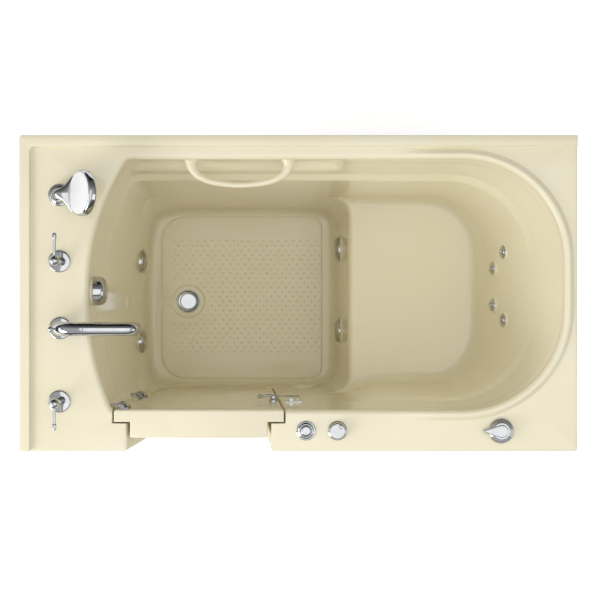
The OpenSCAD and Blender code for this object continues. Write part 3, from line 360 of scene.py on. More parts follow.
# %% [markdown]
# The wall is not one slope. Under the rim it falls steeply, then a narrow armrest shelf
# runs along both sides about 180 mm down, and below it the wall leans in again to the seat.
# In the photo the shelf is the thin line inside the rim. The foot well's own front wall
# stays upright, because the door closes against it.

# %% Bowl levels
SHELF_DEPTH = [0, 60, 165, 192, 533]
SHELF_BACK = [324, 319, 305, 290, 273]
SHELF_FRONT = [281, 279, 273, 264, 250]
WELL_BACK_DEPTH = [0, 60, 165, 192, 850]
WELL_BACK = [324, 319, 305, 291, 264]
SEAT_BLEND = (128, 205)
SEAT_DEPTH = DECK - SEAT_Z
WELL_DEPTH = DECK - WELL_Z
WELL_TURN_X = 55.0
RIM_PASSES = 6


def well_back(depth):
    """How far back the foot well's rear wall stands at a depth."""
    return np.interp(depth, WELL_BACK_DEPTH, WELL_BACK)


def wall_ring(depth):
    """Outline of the bowl at a depth under the deck."""
    k = min(depth / SEAT_DEPTH, 1)
    drop = depth / WELL_DEPTH
    right = RIM["right"] - (RIM["right"] - SEAT_BACK_X) * k
    radius = RIM_R - (RIM_R - SEAT_R) * k
    seat = basin_ring(drop, right, np.interp(depth, SHELF_DEPTH, SHELF_FRONT),
                      np.interp(depth, SHELF_DEPTH, SHELF_BACK), radius)
    well = basin_ring(drop, right, RIM["front"], well_back(depth), radius)
    weight = smooth_step(seat[:, :1], *SEAT_BLEND)
    return well + weight * (seat - well)


def side_ring(depth):
    """The bowl's outline with the foot well's front and back carried to the seat end."""
    return basin_ring(depth / WELL_DEPTH, SEAT_BACK_X, RIM["front"], well_back(depth), SEAT_R)


turned_points = np.flatnonzero(side_ring(SEAT_DEPTH)[:, 0] > WELL_TURN_X)


def well_ring(depth):
    """Outline of the foot well. The points past WELL_TURN_X cross to its seat side."""
    ring = side_ring(depth)
    drop = (depth - SEAT_DEPTH) / (WELL_DEPTH - SEAT_DEPTH)
    right = SEAT_FRONT_X - (SEAT_FRONT_X - WELL_FLOOR_X) * drop
    first, last = turned_points[0], turned_points[-1]
    path = np.vstack([ring[first - 1:first],
                      corner_arc(right, -RIM["front"], WELL_R, -90, 20),
                      corner_arc(right, well_back(depth), WELL_R, 0, 20),
                      ring[last + 1:last + 2]])
    ring[turned_points] = spread_along(path, len(turned_points) + 2)[1:-1]
    return ring


def mould_ring(make, depth):
    """An outline with its corners softened; the mould's corners grow rounder downwards."""
    passes = RIM_PASSES + 0.09 * min(depth, SEAT_DEPTH) + 0.8 * max(depth - SEAT_DEPTH, 0)
    return soften(make(depth), passes)


# Which points of a ring belong to the seat: 1 on it, 0 on the foot well
on_seat = smooth_step(wall_ring(SEAT_DEPTH)[:, 0], SEAT_FRONT_X - 8, SEAT_FRONT_X + 42)
print("seat share of the ring", round(float(on_seat.mean()), 3))

# %% [markdown]
# The inside of the bowl goes down in five stages: the rolled rim, the wall to the seat, the
# seat itself, the foot well's walls, and its floor. Every ring keeps its point count, so the
# seat's front edge is simply where the ring's right side has slid across to. The seat end
# also has a raised bead round the rim, which fades out along both sides.

# %% Inside of the bowl
RIM_FLAT = 26.0
SEAT_FILLET = 26.0
EDGE_ROLL = 15.0
EDGE_START = 6.0
FLOOR_FILLET = 24.0
SEAT_DISH = 3.0
BEAD_FADE = (235, 345)
POCKET_DEPTH = 17.0
POCKET_LEFT = (-418, -402)
POCKET_RIGHT = (78, 112)
POCKET_SILL = (842, 868)
CHANNEL_DEPTH = 1.0
CHANNEL_EDGE = (9, 15)
CHANNEL_TOP = (760, 890)
WALL_RINGS = (12, 8, 12)
FLOOR_RINGS = 8
NORMAL_PASSES = 12
EDGE_PASSES = 4
FLOOR_PASSES = 25
SPINE_Y = -8.0
FILLET_STEPS = 7
FILLET_SLIDE = 0.4
DRAIN_X = -345.0
DRAIN_Y = -20.0
BEAD_LINE = [(26, 0), (23, 1.6), (20, 5), (16, 8.6), (12, 10), (8, 9.6), (4, 7.6), (1.4, 4),
             (0, -1.5), (0, -6), (0, -12)]
PLAIN_LINE = [(26, 0), (22, 0), (18, 0), (15, 0), (12, 0), (9, -0.4), (6, -1.6), (3.2, -3.6),
              (1.4, -6.1), (0.4, -9), (0, -12)]


def rim_rings():
    """The rim's roll, which turns into the raised bead round the seat end."""
    base = mould_ring(wall_ring, 0)
    out_dir = soften(ring_normals(base), 3)
    share = smooth_step(base[:, 0], *BEAD_FADE)
    rings = []
    for (bead_out, bead_z), (out, z) in zip(BEAD_LINE, PLAIN_LINE):
        flat = base + out_dir * (out + (bead_out - out) * share)[:, None]
        rings.append(at_height(flat, DECK + z + (bead_z - z) * share))
    return rings


def pocket(ring):
    """The recess in the back wall behind the grab bar, and the shallow channel that runs
    down the left wall from the overflow."""
    x, y, z = ring.T
    along = smooth_step(x, *POCKET_LEFT) * (1 - smooth_step(x, *POCKET_RIGHT))
    recess = along * smooth_step(z, *POCKET_SILL) * (y > 250)
    channel = (1 - smooth_step(np.abs(y - DRAIN_Y), *CHANNEL_EDGE)) * (x < -350)
    channel = channel * (1 - smooth_step(z, *CHANNEL_TOP))
    return np.column_stack([x - CHANNEL_DEPTH * channel, y + POCKET_DEPTH * recess, z])


def wall_rings():
    spans = ((20, 160), (165, 196), (215, SEAT_DEPTH - SEAT_FILLET))
    depths = np.concatenate([np.linspace(*span, count)
                             for span, count in zip(spans, WALL_RINGS)])
    return [pocket(at_height(mould_ring(wall_ring, depth), DECK - depth)) for depth in depths]


def part_heights(depth, z_seat):
    """The height of each point: z_seat on the seat, and the depth's own on the foot well."""
    return (DECK - depth) + (z_seat - (DECK - depth)) * on_seat


def seat_rings():
    """Fillet onto the seat, then across it; the foot well's wall goes on down meanwhile."""
    seat_base = mould_ring(wall_ring, SEAT_DEPTH)
    inward = -soften(ring_normals(seat_base), NORMAL_PASSES)
    start = seat_base + inward * SEAT_FILLET
    edge = mould_ring(well_ring, SEAT_DEPTH)
    edge = edge + soften(ring_normals(edge), EDGE_PASSES) * EDGE_ROLL
    steps = [(FILLET_SLIDE * f, SEAT_FILLET * (f - 1), 90 * f, 0.0)
             for f in np.arange(1, FILLET_STEPS + 1) / FILLET_STEPS]
    steps += [(FILLET_SLIDE + (1 - FILLET_SLIDE) * t, EDGE_START * t, 90, t)
              for t in np.linspace(0.08, 1, 12)]
    rings = []
    for slide, past, turn, t in steps:
        depth = SEAT_DEPTH + past
        side = mould_ring(side_ring, depth)
        well = side + (mould_ring(well_ring, depth) - side) * slide
        angle = math.radians(turn)
        seat = seat_base + inward * SEAT_FILLET * (1 - math.cos(angle))
        seat = seat if t == 0 else start + (edge - start) * t
        dish = SEAT_DISH * math.sin(math.pi * t)
        z_seat = SEAT_Z + SEAT_FILLET * (1 - math.sin(angle)) - dish
        rings.append(at_height(well + (seat - well) * on_seat[:, None],
                               part_heights(depth, z_seat)))
    return rings


def lower_rings():
    """Over the seat's front edge, down the foot well and round the fillet to its floor."""
    rings = []
    for turn in np.radians(np.linspace(15, 90, 6)):
        depth = SEAT_DEPTH + EDGE_START + (EDGE_ROLL - EDGE_START) * turn / (np.pi / 2)
        flat = mould_ring(well_ring, depth)
        out = soften(ring_normals(flat), EDGE_PASSES) * on_seat[:, None]
        flat = flat + out * EDGE_ROLL * (1 - math.sin(turn))
        z_edge = SEAT_Z - EDGE_ROLL * (1 - math.cos(turn))
        rings.append(at_height(flat, part_heights(depth, z_edge)))
    for depth in np.linspace(SEAT_DEPTH + EDGE_ROLL + 12, WELL_DEPTH - FLOOR_FILLET, 14):
        rings.append(pocket(at_height(mould_ring(well_ring, depth), DECK - depth)))
    base = mould_ring(well_ring, WELL_DEPTH)
    inward = -soften(ring_normals(base), FLOOR_PASSES)
    for turn in np.radians(np.linspace(9, 90, 10)):
        rings.append(at_height(base + inward * FLOOR_FILLET * (1 - math.cos(turn)),
                               WELL_Z + FLOOR_FILLET * (1 - math.sin(turn))))
    last = rings[-1][:, :2]
    spine = np.interp(last[:, 0], [-470, -330, -60, 120], [-330, -330, -60, -60])
    middle = np.column_stack([spine, np.full(len(last), SPINE_Y)])
    for t in np.linspace(0.12, 0.97, FLOOR_RINGS):
        rings.append(at_height(last + (middle - last) * t, WELL_Z))
    return rings


inner_rings = rim_rings() + wall_rings() + seat_rings() + lower_rings()
print(len(inner_rings), "rings of", len(inner_rings[0]), "points")

# %% [markdown]
# The outside of the bowl follows the inside one wall thickness further out. It is only seen
# from behind and below, so it has fewer rings. A plan-view cutter takes out the door's
# opening, because the opening crosses the rings at an angle.

# %% Shell of the bowl


def vertex_row(bm, points):
    return [bm.verts.new(Vector(p) * MM) for p in points]


def rings_to_mesh(bm, rings):
    """Skins a list of rings with quads and returns the vertices ring by ring."""
    rows = [vertex_row(bm, ring) for ring in rings]
    n = len(rows[0])
    for upper, lower in zip(rows, rows[1:]):
        for i in range(n):
            j = (i + 1) % n
            bm.faces.new((upper[i], lower[i], lower[j], upper[j]))
    return rows


def outer_rings():
    """Every third or fourth inner ring, moved out through the wall."""
    rim_end = len(BEAD_LINE) - 1
    wall_end = rim_end + sum(WALL_RINGS)
    picked = (inner_rings[rim_end:wall_end:3] + inner_rings[wall_end + 1:-FLOOR_RINGS:4]
              + [inner_rings[-FLOOR_RINGS - 1]])
    rings = []
    for ring in picked:
        out = soften(ring_normals(ring[:, :2]), NORMAL_PASSES)
        down = np.interp(ring[:, 2], [WELL_Z, WELL_Z + FLOOR_FILLET], [WALL, 0])
        rings.append(at_height(ring[:, :2] + out * WALL, ring[:, 2] - down))
    return rings


def mesh_from(bm, name, outward=True):
    """Closes a bmesh into a mesh, with its faces turned outward first."""
    if outward:
        bmesh.ops.recalc_face_normals(bm, faces=bm.faces)
    mesh = bpy.data.meshes.new(name)
    bm.to_mesh(mesh)
    bm.free()
    return mesh


def evaluated_mesh(obj):
    """The mesh that the object's modifiers make, as a new mesh."""
    bpy.context.view_layer.update()
    return bpy.data.meshes.new_from_object(obj.evaluated_get(
        bpy.context.evaluated_depsgraph_get()))


def add_piece(name, mesh, slot_name, body, replaced=(), smooth=True, skin=None):
    """Finishes a piece: smooth shading, its material (its slot's own, unless a skin is
    named), the body it rides on."""
    mesh.materials.clear()
    mesh.materials.append(finish[skin or slot_name])
    for face in mesh.polygons:
        face.use_smooth = smooth
    obj = new_object(name, mesh)
    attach(obj, body)
    if replaced:
        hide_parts(*replaced)
    return obj


# %% [markdown]
# The door's opening. Its elevation has sides that draw in towards the sill and round lower
# corners, so one path is written for it and everything round the door is swept along it:
# the jamb with its rebate, the door's leaf and the door's outer shell. Each sweep is a list
# of (offset from the leaf's edge, depth in Y) stations, with the radii that a mould needs.

# %% Door path
DOOR_LEFT = -446.0
DOOR_RIGHT = -35.0
DOOR_SILL = 190.0
DOOR_R = 90.0
DOOR_TAPER = 0.064
TAPER_K = math.hypot(1, DOOR_TAPER)
LEAN = math.degrees(math.atan(DOOR_TAPER))
SLAB_CORNER = 4.0


def door_side(z, grow):
    return DOOR_LEFT - grow * TAPER_K + DOOR_TAPER * (DECK - z)


def across_door(line):
    """A line mirrored to the door's other side, and run backwards."""
    return np.column_stack([DOOR_LEFT + DOOR_RIGHT - line[::-1, 0], line[::-1, 1]])


def door_path(grow, top=DECK, corner=0.0, sides=8):
    """The leaf's elevation grown by grow, from its upper left corner round to its right."""
    radius = DOOR_R + grow
    centre_z = DOOR_SILL + DOOR_R
    centre_x = door_side(centre_z, grow) + radius * TAPER_K
    heights = np.linspace(top - corner, centre_z, sides)[:-1]
    side = np.column_stack([door_side(heights, grow), heights])
    low = arc_points((centre_x, centre_z), radius, 180 + LEAN, 270, 20)
    path = np.vstack([side, low, across_door(low), across_door(side)])
    if corner > 0:
        bend = arc_points((corner, 0), corner, 100, 180, 4)
        first = bend + [door_side(top, grow), top - corner]
        path = np.vstack([first, path, across_door(first)])
    return path


def loop_mesh(name, loops):
    """Skins closed loops of 3-D points and fills both ends."""
    bm = bmesh.new()
    rows = rings_to_mesh(bm, loops)
    bm.faces.new(rows[0])
    bm.faces.new(rows[-1][::-1])
    return mesh_from(bm, name)


def upright(path, y):
    """An elevation of (x, z) points stood in the plane at y."""
    return np.insert(path, 1, y, axis=1)


def slab_mesh(name, grow, stations):
    """A slab of the door: stations are (inset of the edge, y)."""
    return loop_mesh(name, [upright(door_path(grow - inset, DECK - inset, SLAB_CORNER), y)
                            for inset, y in stations])


# %% [markdown]
# The jamb. Its closed section runs from the well's wall round the rebate that the leaf
# closes into, through the opening and out over the tub's front face, and back behind. It is
# a piece of its own, because it has the dull finish of a trimmed edge.

# %% Jamb
WALL_Y = -281.0
FACE_Y = -381.0
REBATE_Y = -313.4
OPENING = -30.4
GAP = 4.0
JAMB_TOP = DECK - 12
CUTTER_TOP = DECK + 40
CUTTER_YS = (-232.0, -330.0)
JAMB_STEPS = 5


def jamb_section():
    corner = corner_arc(GAP, WALL_Y, 3, 90, JAMB_STEPS)
    inside = corner_arc(GAP, REBATE_Y, 3, -90, JAMB_STEPS)[::-1]
    lip = corner_arc(OPENING, REBATE_Y, 3, 90, JAMB_STEPS)
    face = corner_arc(OPENING, FACE_Y, 5, 180, 6)
    behind = [(12, FACE_Y), (12, WALL_Y - WALL), (GAP + 5, WALL_Y - WALL)]
    return np.vstack([corner, inside, lip, face, behind])


def jamb_mesh():
    section = jamb_section()
    sweeps = np.array([upright(door_path(grow, JAMB_TOP), y) for grow, y in section])
    return loop_mesh("jamb", sweeps.transpose(1, 0, 2))


def cutter_object():
    """Prism that opens the bowl: as wide as the gap at the rim, a little wider below."""
    low = door_path(GAP + 3, JAMB_TOP, sides=10)
    high = np.array([(door_side(z, GAP), z) for z in (CUTTER_TOP, JAMB_TOP)])
    shape = np.vstack([high, low, across_door(high)])
    return new_object("door_cutter", loop_mesh("door_cutter", [upright(shape, y)
                                                               for y in CUTTER_YS]))


def opened(mesh, cutter):
    """The mesh with the door's opening cut through it."""
    obj = new_object("bowl_to_cut", mesh)
    cut = obj.modifiers.new("opening", "BOOLEAN")
    cut.operation = "DIFFERENCE"
    cut.solver = "EXACT"
    cut.object = cutter
    result = evaluated_mesh(obj)
    bpy.data.objects.remove(obj)
    return result


def closed_bowl_mesh():
    """Inside and outside skins joined at the rim: one closed wall to cut the door from."""
    bm = bmesh.new()
    inside = rings_to_mesh(bm, inner_rings)
    bm.faces.new(inside[-1])
    outside = rings_to_mesh(bm, outer_rings())
    bm.faces.new(outside[-1])
    n = len(inside[0])
    for i in range(n):
        j = (i + 1) % n
        bm.faces.new((inside[0][i], inside[0][j], outside[0][j], outside[0][i]))
    return mesh_from(bm, "bowl")


# %% [markdown]
# The deck. Seen from above it is one face between the tub's edge, the bowl's rim and the
# slot for the door. Its outer edges roll over into the lip, and the slot's edges are eased,
# so each stretch of the outline carries its own radius and depth.

# %% Deck
EDGE_R = 5.0
SLOT_R = 2.5
LIP_Z = DECK - 45
LIP_FRONT_Y = -370.0
LIP_RIGHT_X = 665.0
UNDER_Z = DECK - WALL
DECK_CORNER = 6.0


def slot_side(left):
    """Plan of the slot's side from the front face to the rim, at deck height."""
    section = jamb_section()[JAMB_STEPS:-3][::-1]
    points = [(door_side(DECK, grow), y) for grow, y in section]
    line = np.array(points + [(door_side(DECK, GAP), WALL_Y - RIM_FLAT + 1)])
    return line if left else across_door(line)


def deck_outline():
    """The deck's outline, with the kind of edge that it has at each point."""
    left, right = slot_side(True), slot_side(False)
    ring = inner_rings[0][:, :2]
    start = int(np.argmin(np.hypot(*(ring - left[-1]).T)))
    stop = int(np.argmin(np.hypot(*(ring - right[0]).T)))
    rim = ring[(start - np.arange((start - stop) % len(ring) + 1)) % len(ring)]
    outer = np.vstack([corner_arc(x, y, DECK_CORNER, angle, 6) for x, y, angle in
                       ((HALF_L, -HALF_W, -90), (HALF_L, HALF_W, 0), (-HALF_L, HALF_W, 90),
                        (-HALF_L, -HALF_W, 180))])
    runs = (("slot", left), ("rim", rim), ("slot", right), ("outer", outer))
    kind = [name for name, run in runs for _ in run]
    return np.vstack([run for _, run in runs]), kind


def inward_normals(points):
    """Steps into the area that an outline encloses, longer at its corners."""
    ahead = np.roll(points, -1, 0) - points
    ahead /= np.maximum(np.hypot(*ahead.T)[:, None], 1e-9)
    behind = np.roll(ahead, 1, 0)
    area = 0.5 * np.sum(points[:, 0] * np.roll(points[:, 1], -1)
                        - np.roll(points[:, 0], -1) * points[:, 1])
    turn = 1.0 if area > 0 else -1.0
    mean = ahead + behind
    scale = np.maximum(np.sum(mean * ahead, 1)[:, None], 0.35)
    mean /= scale
    return np.column_stack([-mean[:, 1], mean[:, 0]]) * turn


def deck_mesh():
    points, kind = deck_outline()
    inward = inward_normals(points)
    radius = np.array([{"slot": SLOT_R, "rim": 0.0, "outer": EDGE_R}[k] for k in kind])
    has_lip = np.array([k == "outer" and (p[1] < LIP_FRONT_Y or p[0] > LIP_RIGHT_X)
                        for k, p in zip(kind, points)])
    n = len(points)
    top = points + inward * radius[:, None]
    result = delaunay_2d_cdt([Vector(p) for p in top],
                             [(i, (i + 1) % n) for i in range(n)], [], 1, 1e-6)
    flat, faces = result[0], result[2]
    bm = bmesh.new()
    top_row = [bm.verts.new((p.x * MM, p.y * MM, DECK * MM)) for p in flat]
    for face in faces:
        bm.faces.new([top_row[i] for i in face])
    rows = [top_row[:n]]
    for turn in np.radians(np.linspace(22.5, 90, 4)):
        flat_row = points + inward * (radius * (1 - math.sin(turn)))[:, None]
        z = DECK - radius * (1 - math.cos(turn))
        rows.append(vertex_row(bm, at_height(flat_row, z)))
    low = np.where(has_lip, LIP_Z, np.array([JAMB_TOP if k == "slot" else UNDER_Z
                                             for k in kind]))
    lip_in = points + inward * np.where(has_lip, WALL, 0.02)[:, None]
    under = vertex_row(bm, at_height(lip_in, UNDER_Z))
    rows += [vertex_row(bm, at_height(points, low)), vertex_row(bm, at_height(lip_in, low)),
             under]
    for upper, lower in zip(rows, rows[1:]):
        for i in range(n):
            j = (i + 1) % n
            if kind[i] == "rim" and kind[j] == "rim":
                continue
            bm.faces.new((upper[i], upper[j], lower[j], lower[i]))
    for face in faces:
        if max(face) < n:
            bm.faces.new([under[i] for i in reversed(face)])
    bmesh.ops.recalc_face_normals(bm, faces=bm.faces)
    if sum(f.normal.z * f.calc_area() for f in bm.faces if f.calc_center_median().z
           > (DECK - 1) * MM) < 0:
        bmesh.ops.reverse_faces(bm, faces=bm.faces)
    return mesh_from(bm, "deck", outward=False)


# %% Ledges against the walls
LEDGE_W = 27.0
LEDGE_TOP = DECK + 9.0
LEDGE_END = HALF_L - 0.5
LEDGE_INNER_R = 14.0


def ledge_mesh():
    """One L-shaped strip along the left and back edges, rounded over on top."""
    inner_x, inner_y = -HALF_L + LEDGE_W, HALF_W - LEDGE_W
    loop = np.vstack([corner_arc(-HALF_L, -HALF_W, DECK_CORNER, 180, 5)[::-1],
                      corner_arc(-HALF_L, HALF_W, DECK_CORNER, 90, 5)[::-1],
                      [(LEDGE_END, HALF_W), (LEDGE_END, inner_y)],
                      corner_arc(inner_x, inner_y, LEDGE_INNER_R, 90, 8),
                      corner_arc(inner_x, -HALF_W, DECK_CORNER, -90, 5)[::-1]])
    inward = inward_normals(loop)
    rounding = [(0, DECK - 2), (0, LEDGE_TOP - 3.5), (0.5, LEDGE_TOP - 1.8),
                (1.8, LEDGE_TOP - 0.5), (3.5, LEDGE_TOP)]
    return loop_mesh("ledges", [at_height(loop + inward * inset, z) for inset, z in rounding])


def joined(name, meshes):
    """Several meshes as one, with coincident points welded."""
    bm = bmesh.new()
    for mesh in meshes:
        bm.from_mesh(mesh)
    bmesh.ops.remove_doubles(bm, verts=bm.verts, dist=0.01 * MM)
    return mesh_from(bm, name, outward=False)


def sharpen(mesh, degrees=38):
    """Smooth shading that breaks at edges sharper than the given angle."""
    for face in mesh.polygons:
        face.use_smooth = True
    mesh.set_sharp_from_angle(angle=math.radians(degrees))


cutter = cutter_object()
bowl = opened(closed_bowl_mesh(), cutter)
bpy.data.objects.remove(cutter)
print("bowl faces", len(bowl.polygons))
shell_mesh = joined("tub_shell_skin", [bowl, deck_mesh(), ledge_mesh()])
shell = add_piece("shell_skin", shell_mesh, "acrylic", "tub", ["tub_shell"])
sharpen(shell.data)
jamb = add_piece("jamb_skin", joined("jamb_skin", [jamb_mesh()]), "acrylic", "tub",
                 skin="trimmed_acrylic")
sharpen(jamb.data)
print("shell faces", len(shell.data.polygons), "jamb faces", len(jamb.data.polygons))

# %% [markdown]
# The door is a moulded leaf that closes against the rebate from inside, so water presses it
# shut, with a narrower shell behind it that fills the opening. Seen from above the two make
# a T. Both are swept along the same path as the jamb, with the leaf's inner edge rounded.

# %% Door
LEAF_STATIONS = [(7, -280), (3.2, -280.8), (1, -282.6), (0.1, -285.5), (0, -288),
                 (0, -310)]
BOX_GROW = -39.0
BOX_STATIONS = [(0, -310), (0, -343), (0.5, -346), (2, -348.2), (4.5, -349), (7, -349)]
leaf = add_piece("door_leaf_skin", slab_mesh("door_leaf", 0, LEAF_STATIONS), "acrylic",
                 "door", ["door_inner_panel"])
sharpen(leaf.data, 50)
box = add_piece("door_box_skin", slab_mesh("door_box", BOX_GROW, BOX_STATIONS), "acrylic", "door",
                ["door_outer_panel"])
sharpen(box.data, 50)
print("door faces", len(leaf.data.polygons) + len(box.data.polygons))

# %% [markdown]
# The chrome fittings. Real ones are brass bodies turned on a lathe or bent from tube, then
# polished and plated, so two shapes cover nearly all of them: a profile turned about an
# axis, and a round section swept along a path. Soft edges matter here, because a mirror
# finish only shows an edge by the narrow highlight along it.

# %% Turned and swept shapes
DECK_TOP = DECK + 4.0
CHROME_BREAK = 40


def close_rows(bm, rows):
    """Skins rings of vertices; a ring of one vertex closes its neighbour to a point."""
    for upper, lower in zip(rows, rows[1:]):
        n = max(len(upper), len(lower))
        for i in range(n):
            j = (i + 1) % n
            corners = [upper[i % len(upper)], lower[i % len(lower)], lower[j % len(lower)],
                       upper[j % len(upper)]]
            face = list(dict.fromkeys(corners))
            bm.faces.new(face)


def turned(profile, origin, axis=(0, 0, 1), steps=64):
    """A profile of (radius, distance along the axis) turned about an axis from origin."""
    turn = Vector(axis).to_track_quat("Z", "Y").to_matrix()
    bm = bmesh.new()
    rows = []
    for radius, along in profile:
        count = steps if radius > 1e-6 else 1
        angles = np.linspace(0, 2 * np.pi, count, endpoint=False)
        rows.append([bm.verts.new((Vector(origin) + turn @ Vector(
            (radius * math.cos(a), radius * math.sin(a), along))) * MM) for a in angles])
    if profile[0] == profile[-1]:
        bmesh.ops.delete(bm, geom=rows.pop(), context="VERTS")
        rows.append(rows[0])
    close_rows(bm, rows)
    return mesh_from(bm, "turned")


def smooth_path(points, steps):
    """A soft curve through a few points: each coordinate and the radius is eased."""
    line = np.asarray(points, float)
    count = len(line)
    padded = np.vstack([2 * line[0] - line[1], line, 2 * line[-1] - line[-2]])
    out = []
    for t in np.linspace(0, count - 1, steps):
        i = min(int(t), count - 2)
        f = t - i
        p0, p1, p2, p3 = padded[i:i + 4]
        out.append(0.5 * (2 * p1 + (p2 - p0) * f + (2 * p0 - 5 * p1 + 4 * p2 - p3) * f * f
                          + (3 * p1 - p0 - 3 * p2 + p3) * f ** 3))
    return np.array(out)


def swept(points, radii, steps=40, around=36, widths=None, domes=(0.0, 0.0)):
    """A section swept along a path: radii in the path's plane, widths across it."""
    widths = radii if widths is None else widths
    line = smooth_path(np.column_stack([points, radii, widths]), steps)
    centre, radius, width = line[:, :3], line[:, 3], line[:, 4]
    ahead = np.gradient(centre, axis=0)
    ahead /= np.linalg.norm(ahead, axis=1)[:, None]
    across = (0, 0, 1) if abs(ahead[0][1]) > 0.9 or abs(ahead[0][2]) < 0.1 else (0, 1, 0)
    side = np.cross(ahead[0], across)
    bm = bmesh.new()
    angles = np.linspace(0, 2 * np.pi, around, endpoint=False)
    rows = []
    sides = []
    for tangent in ahead:
        side = side - tangent * np.dot(side, tangent)
        side /= np.linalg.norm(side)
        sides.append(side.copy())

    def ring(i, shrink, push):
        up = np.cross(ahead[i], sides[i])
        middle = centre[i] + ahead[i] * push
        return [bm.verts.new(Vector(middle + shrink * (
            radius[i] * math.cos(a) * sides[i] + width[i] * math.sin(a) * up)) * MM)
            for a in angles]

    def cap(i, dome, direction):
        tip = bm.verts.new(Vector(centre[i] + ahead[i] * dome * direction) * MM)
        turns = np.radians([20, 40, 60, 78]) if dome else []
        return [ring(i, math.cos(t), dome * direction * math.sin(t)) for t in turns] + [[tip]]

    rows = cap(0, domes[0], -1)[::-1]
    rows += [ring(i, 1.0, 0.0) for i in range(len(centre))]
    rows += cap(len(centre) - 1, domes[1], 1)
    close_rows(bm, rows)
    return mesh_from(bm, "swept")


def ball(centre, radius, steps=40):
    profile = [(radius * math.sin(t), -radius * math.cos(t))
               for t in np.linspace(0, math.pi, 21)]
    profile[0] = (0.0, -radius)
    profile[-1] = (0.0, radius)
    return turned(profile, centre, steps=steps)


def add_fitting(name, meshes, body, replaced, slot_name="chrome", angle=CHROME_BREAK,
                skin=None):
    obj = add_piece(name, joined(name, meshes), slot_name, body, replaced, skin=skin)
    sharpen(obj.data, angle)
    return obj


print("shapes ready")

# %% [markdown]
# Deck taps. Four flat round flanges cover the holes. Each handle is a ball on a slim column,
# with a thin lever that reaches out to a fatter tip; the ball hides the column from above.

# %% Flanges and handles
TAP_X = -577.0
SPOUT_X = -575.0
SPOUT_Y = -83.8
HOT_Y = 77.4
COLD_Y = -260.5
HANDSET_Y = 237.0
FLANGE_R = 27.0
HANDLE_R = 12.5
HOT_REACH = 66.0
COLD_REACH = 64.0
HANDLE_Z = DECK_TOP + 0.3
BALL_Z = HANDLE_Z + 55.0
FLANGE_LINE = [(9.2, 0), (FLANGE_R, 0), (FLANGE_R, 1.4), (26.4, 2.7), (25.2, 3.6), (23.6, 4),
               (9.2, 4), (9.2, 0)]
HANDLE_LINE = [(0, 0), (8, 0), (7.9, 1.2), (7, 3), (6.2, 6), (5.8, 14), (5.8, 36),
               (6.4, 42), (7.4, 45), (0, 45.1)]
LEVER_RADII = [4.0, 3.8, 4.0, 4.9, 5.5, 5.3]


def handle_meshes(y, direction, reach):
    column = turned(HANDLE_LINE, (TAP_X, y, HANDLE_Z))
    along = (10, 24, reach - 18, reach - 15, reach - 12, reach - 5)
    lever = swept([(TAP_X, y + direction * d, BALL_Z) for d in along], LEVER_RADII, 36, 28,
                  domes=(0, 5.0))
    return [column, ball((TAP_X, y, BALL_Z), HANDLE_R), lever]


flange_places = [(SPOUT_X, SPOUT_Y), (TAP_X, HOT_Y), (TAP_X, COLD_Y), (TAP_X, HANDSET_Y)]
add_fitting("tap_flange_skins", [turned(FLANGE_LINE, (x, y, DECK), steps=72)
                                 for x, y in flange_places], "tub", ["deck_flanges"])
add_fitting("hot_handle_skin", handle_meshes(HOT_Y, 1, HOT_REACH), "hot_tap", ["hot_handle"])
add_fitting("cold_handle_skin", handle_meshes(COLD_Y, -1, COLD_REACH), "cold_tap",
            ["cold_handle"])
print("flanges at", flange_places)

# %% [markdown]
# The spout rises out of its flange, leans forward as it thickens and runs level over the
# rim; a joint ring sits a good third of the way along, and the end turns down to the
# aerator. The small ball over its foot is the knob that sends the water to the hand shower
# when it is lifted.

# %% Spout
SPOUT_Z = DECK_TOP + 86.0
SPOUT_END_X = SPOUT_X + 190.0
SPOUT_R = 15.5
JOINT_RING_X = -500.5
KNOB_Z = SPOUT_Z + 23.4
KNOB_R = 7.0
SPOUT_LINE = [(SPOUT_X, DECK_TOP), (SPOUT_X, DECK_TOP + 12), (-573.5, DECK_TOP + 32),
              (-569, DECK_TOP + 52), (-559, DECK_TOP + 70), (-541, DECK_TOP + 82.5),
              (-516, SPOUT_Z), (-480, SPOUT_Z), (-440, SPOUT_Z), (-411, SPOUT_Z),
              (-395, SPOUT_Z - 5), (-386.5, SPOUT_Z - 18), (SPOUT_END_X, SPOUT_Z - 32),
              (SPOUT_END_X, SPOUT_Z - 48)]
SPOUT_RADII = [14, 12, 12.8, 15.4, 17, 16.8, 16.2, 16, 15.8, 15.6, 15.5, 15.5, 15, 14]
RING_LINE = [(SPOUT_R - 1, -3.6), (SPOUT_R + 0.5, -3.4), (SPOUT_R + 0.9, -2.4),
             (SPOUT_R + 0.9, 2.4), (SPOUT_R + 0.5, 3.4), (SPOUT_R - 1, 3.6),
             (SPOUT_R - 1, -3.6)]
AERATOR_LINE = [(0, 3), (7.5, 3), (7.5, 0.6), (8.4, 0), (10.4, 0), (11, 0.7), (11, 11.5),
                (0, 11.5)]

spout_path = [(x, SPOUT_Y, z) for x, z in SPOUT_LINE]
add_fitting("spout_skin", [swept(spout_path, SPOUT_RADII, 120, 48),
                           turned(RING_LINE, (JOINT_RING_X, SPOUT_Y, SPOUT_Z), (1, 0, 0))],
            "tub", ["spout"])
add_fitting("aerator_skin", [turned(AERATOR_LINE, (SPOUT_END_X, SPOUT_Y, SPOUT_Z - 50))],
            "tub", ["aerator"])
knob_stem = [(SPOUT_X, SPOUT_Y, z) for z in (SPOUT_Z - 22, SPOUT_Z, KNOB_Z)]
add_fitting("spout_lift_knob_skin", [ball(knob_stem[-1], KNOB_R),
                                     swept(knob_stem, [2.6, 2.6, 2.4], 12, 20)],
            "spout_knob", ["spout_diverter_knob"])
print("spout reaches", SPOUT_END_X)

